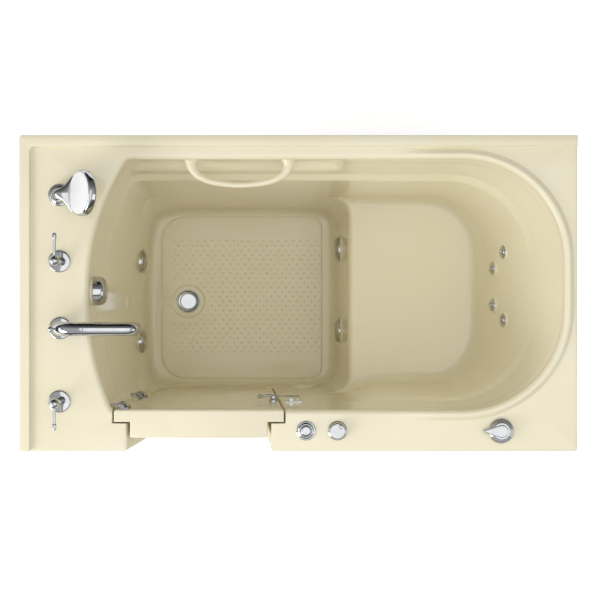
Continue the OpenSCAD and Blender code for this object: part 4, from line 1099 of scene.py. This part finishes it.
# %% [markdown]
# The hand shower stands in a socket. Its round head leans out over the tub with the spray
# face down, so the photo shows the polished back as an oval, with a crescent of the thick
# rim to its right. The short neck leans over and widens into the lower rim of the head. The
# oval is plain white where the chrome round it shows dark and tan reflections, so the back
# carries a white moulded plate.

# %% Hand shower
HEAD_AXIS = Vector((0.8039, 0, -0.5948))
HEAD_BACK = Vector((-517.5, HANDSET_Y, 1032.6))
HEAD_R = 55.0
HEAD_T = 20.0
FACE_R = 45.0
FACE_T = 4.0
HEAD_LINE = [(0, 0.4), (49.5, 0.4), (51.5, 0.7), (53.4, 1.9), (54.7, 3.6), (HEAD_R, 6),
             (HEAD_R, 15), (54.4, 17.6), (52.8, 19.3), (50.4, HEAD_T), (46.2, HEAD_T),
             (45.3, 19.4), (45.2, 16.4), (0, 16.4)]
NECK = [(TAP_X, 974), (TAP_X, 984), (-575.5, 991), (-570, 996), (-561, 998), (-552, 996),
        (-544, 992), (-537, 990)]
NECK_R = [12, 12, 11.5, 9.5, 8, 7, 6, 5]
NECK_WIDTH = [12, 12, 12, 13.5, 18, 28, 40, 46]
NIB_LINE = [(1.7, 0), (1.5, 0.9), (0.9, 1.3), (0, 1.35)]
NIB_PITCH = 9
BACK_LINE = [(0, -1), (49.6, -1), (50.2, 0.4), (49.4, 1.25), (47.5, 1.5), (0, 1.7)]
SOCKET_LINE = [(0, 4.2), (12.2, 4.2), (12.2, 16.6), (13, 17.7), (14.6, 18), (16.4, 17.2),
               (17.2, 15), (18.4, 8), (20.4, 2.4), (22, 0), (0, 0)]


def spray_face_mesh():
    """The soft face with its rings of raised rubber nibs."""
    disc = [(0, 0), (FACE_R, 0), (FACE_R, 2.8), (44.2, 3.7), (42.8, FACE_T), (0, FACE_T)]
    origin = HEAD_BACK + HEAD_AXIS * (HEAD_T - FACE_T)
    turn = HEAD_AXIS.to_track_quat("Z", "Y").to_matrix()
    parts = [turned(disc, origin, HEAD_AXIS)]
    for row in range(5):
        count = max(1, 6 * row)
        for x, y in arc_points((0, 0), NIB_PITCH * row, 0, 360, count + 1)[:-1]:
            spot = turn @ Vector((x, y, FACE_T - 0.2))
            parts.append(turned(NIB_LINE, origin + spot, HEAD_AXIS, 10))
    return parts


neck = swept([(x, HANDSET_Y, z) for x, z in NECK], NECK_R, 60, 56, NECK_WIDTH)
add_fitting("hand_shower_skin", [neck, turned(HEAD_LINE, HEAD_BACK, HEAD_AXIS, 96)],
            "hand_shower", ["handset"])
add_fitting("hand_shower_face_skin", spray_face_mesh(), "hand_shower", ["handset_face"],
            "spray_face")
add_fitting("hand_shower_back_plate", [turned(BACK_LINE, HEAD_BACK, HEAD_AXIS * -1, 96)],
            "hand_shower", (), "spray_face")
add_fitting("hand_shower_socket_skin", [turned(SOCKET_LINE, (TAP_X, HANDSET_Y, DECK_TOP))],
            "tub", ["handset_holder"])
print("head leans", round(math.degrees(math.acos(HEAD_AXIS.x)), 1), "degrees")

# %% [markdown]
# Drain and overflow. The plug is a polished disc that lifts on its stem; the flange round it
# is dished, so its slope mirrors the dark walls and frames the bright disc. The overflow's
# cover is a deep round cap on the left wall that turns to work the plug by a cable.

# %% Drain and overflow
FLANGE_DISH = [(20.2, -20), (25.4, -20), (25.4, -1), (36, -1), (36, 0.9), (35.3, 2.3),
               (34, 3), (33, 2.8), (31.6, 1.4), (29.6, 0.2), (25, 0.1), (20.2, 0.1),
               (20.2, -20)]
PLUG_LINE = [(0, -22), (4, -22), (4, 1), (14, 3.4), (24.5, 3.5), (25.8, 4.2), (26, 5.2),
             (25.5, 6.4), (24.2, 7.1), (22, 7.3), (21.6, 7.3), (0, 7.3)]
CAP_LINE = [(0, 0.3), (36, 0.3), (36, 4), (35.6, 10), (34.2, 17), (31, 22.8), (26.5, 26.6),
            (20, 28.6), (0, 29)]
CAP_PLACE = (-501.0, 6.0, DECK - 60)
add_fitting("drain_flange_skin", [turned(FLANGE_DISH, (DRAIN_X, DRAIN_Y, WELL_Z), steps=96)],
            "tub", ["drain_flange"])
add_fitting("drain_plug_skin", [turned(PLUG_LINE, (DRAIN_X, DRAIN_Y, WELL_Z), steps=96)],
            "plug", ["drain_plug"])
add_fitting("overflow_cap_skin", [turned(CAP_LINE, CAP_PLACE, (1, 0, 0), 96)],
            "overflow_dial", ["overflow_cover"])
print("drain at", DRAIN_X, DRAIN_Y)

# %% [markdown]
# Jets. Each large one has a deep ring round a nozzle with three grips, and the small back
# jets are plain stepped rings. The wall slopes and bends, and a ring seals only on a flat, so
# each fitting gets a flat pad, as a mould would have. The suction cover is of the tub's colour.

# %% Jets
JET_Z = 256.0
JETS = [(-474.0, 101.0, 1), (-474.0, -140.0, 1), (123.0, 137.0, -1), (123.0, -107.0, -1)]
BACK_JETS = [(113.0, 630.0), (-70.0, 630.0), (71.0, 560.0), (-30.0, 560.0)]
RECLINE = math.atan((RIM["right"] - SEAT_BACK_X) / SEAT_DEPTH)
JET_R = 36.5
BACK_JET_R = 18.0
CAP_PAD_R = 30.0
SUCTION_PLACE = (20, WALL_Y, 190)
GRIP_ANGLES = (90, 210, 330)
GRIP_REACH = (10.5, 14, 17.5)
GRIP_RISE = 8.4
GRIP_RADII = [1.9, 1.9, 1.6]
JET_RING = [(21.3, 0), (JET_R, 0), (JET_R, 2), (35.9, 4.4), (34.4, 8), (31.8, 11.6), (29, 13.8),
            (26.8, 14.4), (25, 13.4), (23.4, 10), (22.2, 6), (21.3, 4.6), (21.3, 0)]
NOZZLE = [(0, 1), (20.9, 1), (20.9, 2.4), (19.4, 5.2), (15.8, 7.1), (12.4, 7.6), (11.4, 8.6),
          (10.3, 11.6), (9.2, 13), (7.4, 13), (6.2, 12), (5.3, 9), (5, 4), (0, 4)]
BACK_RING = [(4.6, 0), (BACK_JET_R, 0), (BACK_JET_R, 1.2), (17.1, 2.3), (14.8, 2.7),
             (13.6, 3.5), (11.8, 5.2), (9.8, 6), (7.6, 5.8), (5.8, 4.2), (4.6, 1.6), (4.6, 0)]
SUCTION_LINE = [(0, 0), (44, 0), (44, 1.6), (42.8, 4), (39.4, 6.6), (35.5, 7.7), (33, 7.9),
                (32.4, 6.4), (29.6, 6.4), (29, 8), (24, 8), (23.4, 6.4), (20.6, 6.4),
                (20, 8), (15, 8), (14.4, 6.4), (11.6, 6.4), (11, 8), (0, 8)]


def pad_line(radius, depth):
    """A moulded flat that eases into the wall round a fitting."""
    return [(0, -depth), (radius + 9, -depth), (radius + 4.5, -3.2), (radius + 2.2, -1),
            (radius + 0.6, -0.15), (0, 0)]


def nozzle_meshes(place, toward):
    parts = [turned(NOZZLE, place, (toward, 0, 0), 72)]
    for angle in np.radians(GRIP_ANGLES):
        arm = np.array([0, math.cos(angle), math.sin(angle)])
        points = [np.array(place) + arm * reach + np.array([GRIP_RISE * toward, 0, 0])
                  for reach in GRIP_REACH]
        parts.append(swept(points, GRIP_RADII, 6, 14, domes=(0, 1.5)))
    return parts


def at_jets(profile, steps):
    return [turned(profile, (x, y, JET_Z), (way, 0, 0), steps) for x, y, way in JETS]


def at_back_jets(profile):
    """The profile turned at each back jet, square to the reclined backrest."""
    axis = (-math.cos(RECLINE), 0, math.sin(RECLINE))
    return [turned(profile, (SEAT_BACK_X + (z - SEAT_Z) * math.tan(RECLINE) - 6, y, z), axis, 56)
            for y, z in BACK_JETS]


pads = at_jets(pad_line(JET_R, 12), 72) + at_back_jets(pad_line(BACK_JET_R, 14))
pads.append(turned(pad_line(CAP_PAD_R, 16), CAP_PLACE, (1, 0, 0), 72))
add_fitting("fitting_pads", pads, "tub", (), "acrylic", 50)
add_fitting("jet_ring_skins", at_jets(JET_RING, 84), "tub", ["jet_rings"])
for number, (x, y, way) in enumerate(JETS, 1):
    add_fitting(f"jet_nozzle_{number}_skin", nozzle_meshes((x, y, JET_Z), way),
                f"jet_{number}", [f"jet_nozzle_{number}"])
add_fitting("back_jet_skins", at_back_jets(BACK_RING), "tub", ["back_jet_faces"])
add_fitting("suction_cover_skin", [turned(SUCTION_LINE, SUCTION_PLACE, (0, 1, 0), 72)],
            "tub", ["suction_cover"], skin="acrylic")
print(len(JETS), "large jets,", len(BACK_JETS), "back jets")

# %% [markdown]
# The grab bar is cast in the tub's own colour. It bows out from the back wall and its feet
# flare to broad pads, so it reads as one piece with the shell.

# %% Grab bar
BAR_Z = DECK - 60
BAR_LINE = [(-264, 339), (-264, 326), (-263, 313), (-256, 299), (-239, 285), (-205, 273),
            (-144, 267), (-83, 273), (-49, 285), (-32, 299), (-25, 313), (-24, 326),
            (-24, 339)]
BAR_RADII = [23, 18, 13, 10, 8.6, 7.4, 6.8, 7.4, 8.6, 10, 13, 18, 23]
bar = swept([(x, y, BAR_Z) for x, y in BAR_LINE], BAR_RADII, 90, 40)
add_fitting("grab_bar_skin", [bar], "tub", ["grab_bar"], "acrylic", 60)
print("bar stands out", RIM["back"] - min(y for _, y in BAR_LINE), "mm from the rim's line")

# %% [markdown]
# Hinges and latch. Each hinge has a steel leaf on the door's inner face, held by three domed
# screws, an arm on the jamb, and a pin through the knuckles of both. The latch is a small
# lever with a ball at one end; the tongue at its other end lies against a keeper on the jamb.

# %% Hinges and latch
HINGE_X = -432.0
HINGE_Y = -270.0
HINGE_ROWS = (DECK - 55, DECK - 385)
LEAF_Y = -280.0
LATCH_X = -66.0
LATCH_Z = DECK - 237
SCREW_LINE = [(0, -1), (3.6, -1), (3.6, 0.3), (3.1, 1.3), (1.9, 2), (0, 2.2)]
PIN_LINE = [(0, -3), (3, -3), (3, 50.2), (4.6, 50.3), (4.9, 51.4), (4, 52.7), (2, 53.2),
            (0, 53.3)]
KNUCKLE = 16.2
HINGE_H = 50.0
LATCH_BALL_R = 6.5


def block(size, centre, edge=1.2):
    """A box with its edges rolled over."""
    bm = bmesh.new()
    bmesh.ops.create_cube(bm, size=1.0)
    for vert in bm.verts:
        vert.co = Vector(centre) * MM + Vector([c * s for c, s in zip(vert.co, size)]) * MM
    bmesh.ops.bevel(bm, geom=bm.edges, offset=edge * MM, segments=3, affect="EDGES")
    return mesh_from(bm, "block")


def barrel(z, height):
    """One knuckle of a hinge, with eased ends."""
    line = [(3.2, 0), (5.6, 0), (6.5, 0.9), (6.5, height - 0.9), (5.6, height),
            (3.2, height), (3.2, 0)]
    return turned(line, (HINGE_X, HINGE_Y, z), steps=40)


def hinge_parts():
    door, jamb, pins = [], [], []
    for z in HINGE_ROWS:
        door.append(block((15, 4, HINGE_H), (HINGE_X + 14, LEAF_Y + 2, z + HINGE_H / 2)))
        for low in (0, HINGE_H - KNUCKLE):
            door.append(barrel(z + low, KNUCKLE))
            door.append(block((9, 10, 16), (HINGE_X + 6, LEAF_Y + 5.5, z + low + KNUCKLE / 2)))
        for up in (9, 25, 41):
            door.append(turned(SCREW_LINE, (HINGE_X + 16, LEAF_Y + 4, z + up), (0, 1, 0), 24))
        jamb.append(barrel(z + 17, 16))
        jamb.append(block((27, 3, 15), (HINGE_X - 15.5, HINGE_Y, z + HINGE_H / 2)))
        pins.append(turned(PIN_LINE, (HINGE_X, HINGE_Y, z), steps=32))
    return door, jamb, pins


hinge_rows = (("door_leaf", "door_leaves", "door"), ("jamb_leaf", "jamb_leaves", "tub"),
              ("pin", "pins", "tub"))
for meshes, (skin_name, node, body) in zip(hinge_parts(), hinge_rows):
    add_fitting(f"hinge_{skin_name}_skins", meshes, body, [f"hinge_{node}"], "steel")

ROSE_LINE = [(4.2, 0), (11, 0), (11, 2.4), (10.4, 4.8), (9, 6.5), (7, 7), (4.2, 7), (4.2, 0)]
HUB_LINE = [(0, -5), (4, -5), (4, 0), (7.6, 0), (7.6, 6.4), (7, 8.2), (5.6, 9), (3, 9.2),
            (0, 9.2)]
ARM_LINE = [(0, 5), (8, 7.6), (16, 8.6), (24, 6.6), (31, 5.6)]
ARM_RADII = [4.6, 4.2, 3.4, 2.9, 2.9]
TONGUE_THICK = [2.3, 2.3, 2.3, 2.2, 1.6]
TONGUE_HIGH = [5, 5, 5.2, 4.8, 3]
hub_y = LEAF_Y + 7.3
tongue_y = hub_y + 6.5
arm = swept([(LATCH_X - x, hub_y + out, LATCH_Z) for x, out in ARM_LINE], ARM_RADII, 28, 20)
tongue = swept([(LATCH_X + x, tongue_y, LATCH_Z) for x in (0, 20, 44, 64, 70)],
               TONGUE_THICK, 24, 28, TONGUE_HIGH, domes=(0, 1))
add_fitting("latch_rose_skin", [turned(ROSE_LINE, (LATCH_X, LEAF_Y, LATCH_Z), (0, 1, 0), 48)],
            "door", ["latch_base"])
add_fitting("latch_lever_skin",
            [turned(HUB_LINE, (LATCH_X, hub_y, LATCH_Z), (0, 1, 0), 48), arm, tongue,
             ball((LATCH_X - 34, hub_y + 5.6, LATCH_Z), LATCH_BALL_R, 32)], "latch",
            ["latch_lever"])
KEEPER_LINE = [(0, -9), (5, -9), (5.6, -8.2), (5.6, 8.2), (5, 9), (0, 9)]
PEG_LINE = [(0, -7), (2.2, -7), (2.8, -6.2), (2.8, 6.2), (2.2, 7), (0, 7)]
add_fitting("latch_keeper_skin", [block((44, 3, 24), (-12.5, WALL_Y + 1.5, LATCH_Z), 1),
                                  turned(KEEPER_LINE, (-19, WALL_Y + 5.9, LATCH_Z), steps=40),
                                  turned(PEG_LINE, (-3, WALL_Y + 5.6, LATCH_Z), steps=32)],
            "tub", ["latch_keeper"])
print("hinges at", HINGE_ROWS)

# %% [markdown]
# Controls on the front deck: an air-driven push button in a raised bezel, an air dial with a
# small round mark, and the larger selector, whose pointer is a teardrop on stepped rings.

# %% Deck controls
CONTROL_Y = -331.0
BUTTON_X = 18.0
AIR_X = 94.0
SELECTOR_X = 488.0
KNOB_LIFT = 3.0
POINTER_H = 18.2
BEZEL_LINE = [(13.3, -2), (15.4, -2), (15.4, 0), (23.5, 0), (23.5, 1.2), (22.7, 2.5),
              (21.2, 3.1), (19.6, 3.1), (18.4, 3.8), (17, 5.4), (15.6, 6), (14.4, 5.7),
              (13.3, 4.4), (13.3, -2)]
BUTTON_LINE = [(0, -10), (12.9, -10), (12.9, 4.6), (12.5, 6.2), (11.4, 7.8), (9.4, 8.8),
               (7.4, 9), (5.4, 8.6), (2.8, 8), (0, 7.8)]
BASE_LINE = [(5.3, 0), (23.5, 0), (23.5, 1.1), (22.6, 2.5), (21.2, 3), (5.3, 3), (5.3, 0)]
DIAL_LINE = [(0, 0.3), (21.5, 0.3), (21.5, 2.6), (20.9, 8.6), (19.9, 12), (18.6, 13.7),
             (16.8, 14.3), (0, 14.3)]
MARK_LINE = [(0, -1), (5.6, -1), (5.2, 0.4), (4, 1.1), (2.2, 1.5), (0, 1.6)]
SELECT_LINE = [(0, 0.3), (30.4, 0.3), (30.4, 1.8), (29.6, 4.6), (27.6, 7.2), (26.4, 7.5),
               (25.8, 9), (24, 10.9), (22.8, 11.1), (22.2, 12.3), (20.6, 13.9), (19, 14.3),
               (0, 14.3)]


def pointer_mesh():
    """Teardrop pointer: full at the hub, low and narrow at the tip."""
    hub = arc_points((0, 0), 15.6, -112, 112, 40)
    tip = arc_points((-41, 0), 2.6, 112, 248, 12)
    outline = np.vstack([hub, tip])
    inward = inward_normals(outline)
    fall = 6.4 * smooth_step(-outline[:, 0], 4, 42)
    loops = []
    for inset, share, lift in ((0, 0, 4), (0, 1, -2.6), (0.3, 1, -1.4), (1.1, 1, -0.4),
                               (2.2, 1, 0)):
        flat = outline + inward * inset + [SELECTOR_X, CONTROL_Y]
        loops.append(at_height(flat, DECK + KNOB_LIFT + share * (POINTER_H - fall) + lift))
    return loop_mesh("pointer", loops)


def on_deck(profile, x, lift=0.0, steps=72):
    return turned(profile, (x, CONTROL_Y, DECK + lift), steps=steps)


add_fitting("push_button_bezel_skin", [on_deck(BEZEL_LINE, BUTTON_X)], "tub",
            ["air_button_bezel"])
add_fitting("push_button_skin", [on_deck(BUTTON_LINE, BUTTON_X)], "pump_button",
            ["air_button"])
add_fitting("air_dial_base_skin", [on_deck(BASE_LINE, AIR_X)], "tub", ["air_control_base"])
add_fitting("air_dial_skin", [on_deck(DIAL_LINE, AIR_X, KNOB_LIFT),
                              turned(MARK_LINE, (AIR_X + 8, CONTROL_Y + 10.5, DECK + 17.2),
                                     steps=32)], "air_dial", ["air_control_knob"])
add_fitting("selector_skin", [on_deck(SELECT_LINE, SELECTOR_X, KNOB_LIFT, 96),
                              pointer_mesh()], "selector", ["selector_knob"])
print("controls at", BUTTON_X, AIR_X, SELECTOR_X)

# %% [markdown]
# The floor of the foot well is a raised panel with a soft edge, a notch towards the left
# wall and a ring of bare floor round the drain. It is moulded with a field of small studs
# for grip. They repeat on a staggered grid, so a Geometry Nodes tree lays them.

# %% Floor panel
PANEL = {"left": -429.0, "right": 73.0, "front": -262.0, "back": 246.0}
PANEL_H = 2.4
NOTCH_HALF = 12.5
DRAIN_RING_R = 49.0


def panel_outline():
    left, right, front, back = PANEL.values()
    low, high = DRAIN_Y - NOTCH_HALF, DRAIN_Y + NOTCH_HALF
    open_at = math.degrees(math.asin(NOTCH_HALF / DRAIN_RING_R))
    corners = ((left, low, 9, 90, 6), (left, front, 78, 180, 20), (right, front, 40, 270, 14),
               (right, back, 40, 0, 14), (left, back, 78, 90, 20), (left, high, 9, 180, 6))
    return np.vstack([corner_arc(*corner) for corner in corners]
                     + [arc_points((DRAIN_X, DRAIN_Y), DRAIN_RING_R, 180 - open_at,
                                   open_at - 180, 60)])


def panel_mesh():
    outline = panel_outline()
    inward = inward_normals(outline)
    edge = [(-1.5, -0.6), (0, 0.35), (1.5, 1.3), (3.2, 2.0), (5, 2.32), (7, PANEL_H)]
    return loop_mesh("floor_panel", [at_height(outline + inward * inset, WELL_Z + z)
                                     for inset, z in edge])


add_fitting("floor_panel_skin", [panel_mesh()], "tub", (), "acrylic", 60)
print("panel", PANEL)

# %% Studs on the floor panel
STUD = {"Field length": 0.437, "Field width": 0.344, "Columns": 20, "Rows": 25,
        "Stud radius": 0.0038, "Stud height": 0.0011, "Clear of drain": 0.066}
FIELD_CENTRE_X = -0.1675
FIELD_SHIFT_Y = -0.005
ROW_SHIFT = 0.52
STUD_TAPER = 0.55


def stud_tree():
    tree = bpy.data.node_groups.new("stud_field", "GeometryNodeTree")
    tree.interface.new_socket("Geometry", in_out="OUTPUT", socket_type="NodeSocketGeometry")
    for name, value in STUD.items():
        kind = "NodeSocketInt" if isinstance(value, int) else "NodeSocketFloat"
        tree.interface.new_socket(name, in_out="INPUT", socket_type=kind)
    source = tree.nodes.new("NodeGroupInput").outputs
    grid = add_node(tree, "GeometryNodeMeshGrid", Size_X=source["Field length"],
                    Size_Y=source["Field width"], Vertices_X=source["Columns"],
                    Vertices_Y=source["Rows"])
    index = add_node(tree, "GeometryNodeInputIndex")
    odd = math_node(tree, "PINGPONG", math_node(tree, "MODULO", index, source["Rows"]), 1.0)
    pitch = math_node(tree, "DIVIDE", source["Field length"], source["Columns"])
    shift = math_node(tree, "MULTIPLY", odd, math_node(tree, "MULTIPLY", pitch, ROW_SHIFT))
    offset = add_node(tree, "ShaderNodeCombineXYZ", {"Y": FIELD_SHIFT_Y, "Z": 0.0}, X=shift)
    place = add_node(tree, "GeometryNodeSetPosition", Geometry=grid, Offset=offset)
    panel_top = (WELL_Z + PANEL_H) * MM
    centre = add_node(tree, "GeometryNodeTransform",
                      {"Translation": (FIELD_CENTRE_X, 0.0, panel_top)}, Geometry=place)
    where = add_node(tree, "GeometryNodeInputPosition")
    away = add_node(tree, "ShaderNodeVectorMath",
                    {"operation": "DISTANCE", 1: (DRAIN_X * MM, DRAIN_Y * MM, panel_top)},
                    _0=where)
    near = add_node(tree, "FunctionNodeCompare", {"operation": "LESS_THAN"},
                    _0=away.outputs["Value"], _1=source["Clear of drain"])
    kept = add_node(tree, "GeometryNodeDeleteGeometry", {"domain": "POINT"},
                    Geometry=centre, Selection=near)
    stud = add_node(tree, "GeometryNodeMeshCone", {"Vertices": 12},
                    Radius_Bottom=source["Stud radius"], Depth=source["Stud height"])
    join(tree, math_node(tree, "MULTIPLY", source["Stud radius"], STUD_TAPER),
         stud.inputs["Radius Top"])
    laid = add_node(tree, "GeometryNodeInstanceOnPoints", Points=kept, Instance=stud)
    real = add_node(tree, "GeometryNodeRealizeInstances", Geometry=laid)
    painted = add_node(tree, "GeometryNodeSetMaterial", {"Material": finish["acrylic"]},
                       Geometry=real)
    add_node(tree, "NodeGroupOutput", Geometry=painted)
    return tree


def stud_mesh():
    holder = new_object("stud_holder", bpy.data.meshes.new("stud_holder"))
    field = holder.modifiers.new("studs", "NODES")
    field.node_group = stud_tree()
    for item in field.node_group.interface.items_tree:
        if item.in_out == "INPUT":
            field[item.identifier] = STUD[item.name]
    mesh = evaluated_mesh(holder)
    holder.modifiers.remove(field)
    bpy.data.objects.remove(holder)
    return mesh


studs = add_piece("floor_studs", stud_mesh(), "acrylic", "tub")
sharpen(studs.data, 45)
print("stud faces", len(studs.data.polygons))

# %% [markdown]
# The photo is a cut-out on white. Its chrome tells how the room was lit: flat tops over the
# middle and the right mirror a white soft box, the flanges at the left mirror grey, and every
# side that faces back is black, so the room was dark behind the tub. The deck is brightest
# at the front left, where the key light stood. The key, the box and two weak low lights, one
# from the right for the tub's left wall and one from the left for the backrest, stand in a
# pale room that falls off to grey near the floor. The floor is pale and keeps the object's
# shadow; the camera sees the floor and the room as white.

# %% Floor, world and lamps
FLOOR_HALF = 6.0
LAMPS = [("key_left", 73.0, (2.0, 1.8), (-3.2, -2.2, 2.3), (0.2, 0, 0.7)),
         ("box_over_right", 20.0, (2.8, 2.6), (0.42, -0.65, 3.4), (0.42, -0.65, 0)),
         ("side_right", 7.0, (1.4, 1.2), (2.6, -0.9, 1.9), (-0.4, 0, 0.8)),
         ("low_left", 7.0, (1.0, 0.8), (-2.6, -0.2, 1.8), (0.4, 0, 0.7))]
SKY_LEVELS = [(0.0, 0.09), (0.2, 0.13), (0.42, 0.56), (0.8, 0.58), (1.0, 0.59)]
BACK_LEVELS = [(0.0, 0.62), (0.56, 0.60), (0.70, 0.24), (0.86, 0.14), (0.91, 0.02)]


def white_to_camera(name, grey):
    """A pale surface that the camera, mirrors and glass see as plain white."""
    mat, tree, shader = new_material(name, Roughness=0.9, Base_Color=hex_colour(grey))
    path = add_node(tree, "ShaderNodeLightPath").outputs
    seen = math_node(tree, "MAXIMUM", path["Is Camera Ray"], path["Is Glossy Ray"])
    seen = math_node(tree, "MAXIMUM", seen, path["Is Transmission Ray"])
    glow = add_node(tree, "ShaderNodeEmission", {"Color": (1, 1, 1, 1), "Strength": 0.6})
    both = add_node(tree, "ShaderNodeAddShader", _0=shader, _1=glow)
    mix = add_node(tree, "ShaderNodeMixShader", Fac=seen, _1=shader, _2=both)
    join(tree, mix, tree.nodes["Material Output"].inputs["Surface"])
    return mat


def stage_floor():
    mesh = bpy.data.meshes.new("studio_floor")
    mesh.from_pydata([(x * FLOOR_HALF, y * FLOOR_HALF, -MM) for x, y in
                      ((-1, -1), (1, -1), (1, 1), (-1, 1))], [], [(0, 1, 2, 3)])
    mesh.materials.append(white_to_camera("studio_floor_pale_grey", "#E9E9E9"))
    return new_object("studio_floor", mesh)


def soft_lamp(name, watts, size, place, aim):
    data = bpy.data.lights.new(name, "AREA")
    data.shape = "RECTANGLE"
    data.size, data.size_y = size
    data.energy = watts
    obj = new_object(name, data)
    obj.location = place
    direction = Vector(aim) - obj.location
    obj.rotation_euler = direction.to_track_quat("-Z", "Y").to_euler()
    obj.visible_camera = False


def level_ramp(tree, levels, value):
    ramp = add_node(tree, "ShaderNodeValToRGB", Fac=value)
    stops = ramp.color_ramp.elements
    while len(stops) < len(levels):
        stops.new(0.5)
    for stop, (at, level) in zip(stops, levels):
        stop.position = at
        stop.color = (level, level, level, 1)
    return ramp


def studio_world():
    """A pale room: SKY_LEVELS by the sine of the height, and, in mirrors only, BACK_LEVELS
    from the front (0) to the back (1), so chrome that faces back turns black."""
    world = bpy.data.worlds.new("studio_world")
    scene.world = world
    world.use_nodes = True
    tree = world.node_tree
    shine = tree.nodes["Background"]
    shine.inputs["Color"].default_value = hex_colour("#FFFFFF")
    place = add_node(tree, "ShaderNodeTexCoord")
    way = add_node(tree, "ShaderNodeSeparateXYZ", Vector=place.outputs["Generated"])
    path = add_node(tree, "ShaderNodeLightPath")
    sky = level_ramp(tree, SKY_LEVELS, way.outputs["Z"])
    depth = add_node(tree, "ShaderNodeMapRange", {"From Min": -1.0}, Value=way.outputs["Y"])
    dark = level_ramp(tree, BACK_LEVELS, depth)
    fall = math_node(tree, "SUBTRACT", sky, math_node(tree, "MINIMUM", sky, dark))
    cut = math_node(tree, "MULTIPLY", fall, path.outputs["Is Glossy Ray"])
    level = math_node(tree, "SUBTRACT", sky, cut)
    seen = math_node(tree, "MAXIMUM", level, path.outputs["Is Camera Ray"])
    join(tree, seen, shine.inputs["Strength"])


studio_world()
floor = stage_floor()
for lamp in LAMPS:
    soft_lamp(*lamp)
scene.view_settings.view_transform = "Standard"
print(len(LAMPS), "lamps")
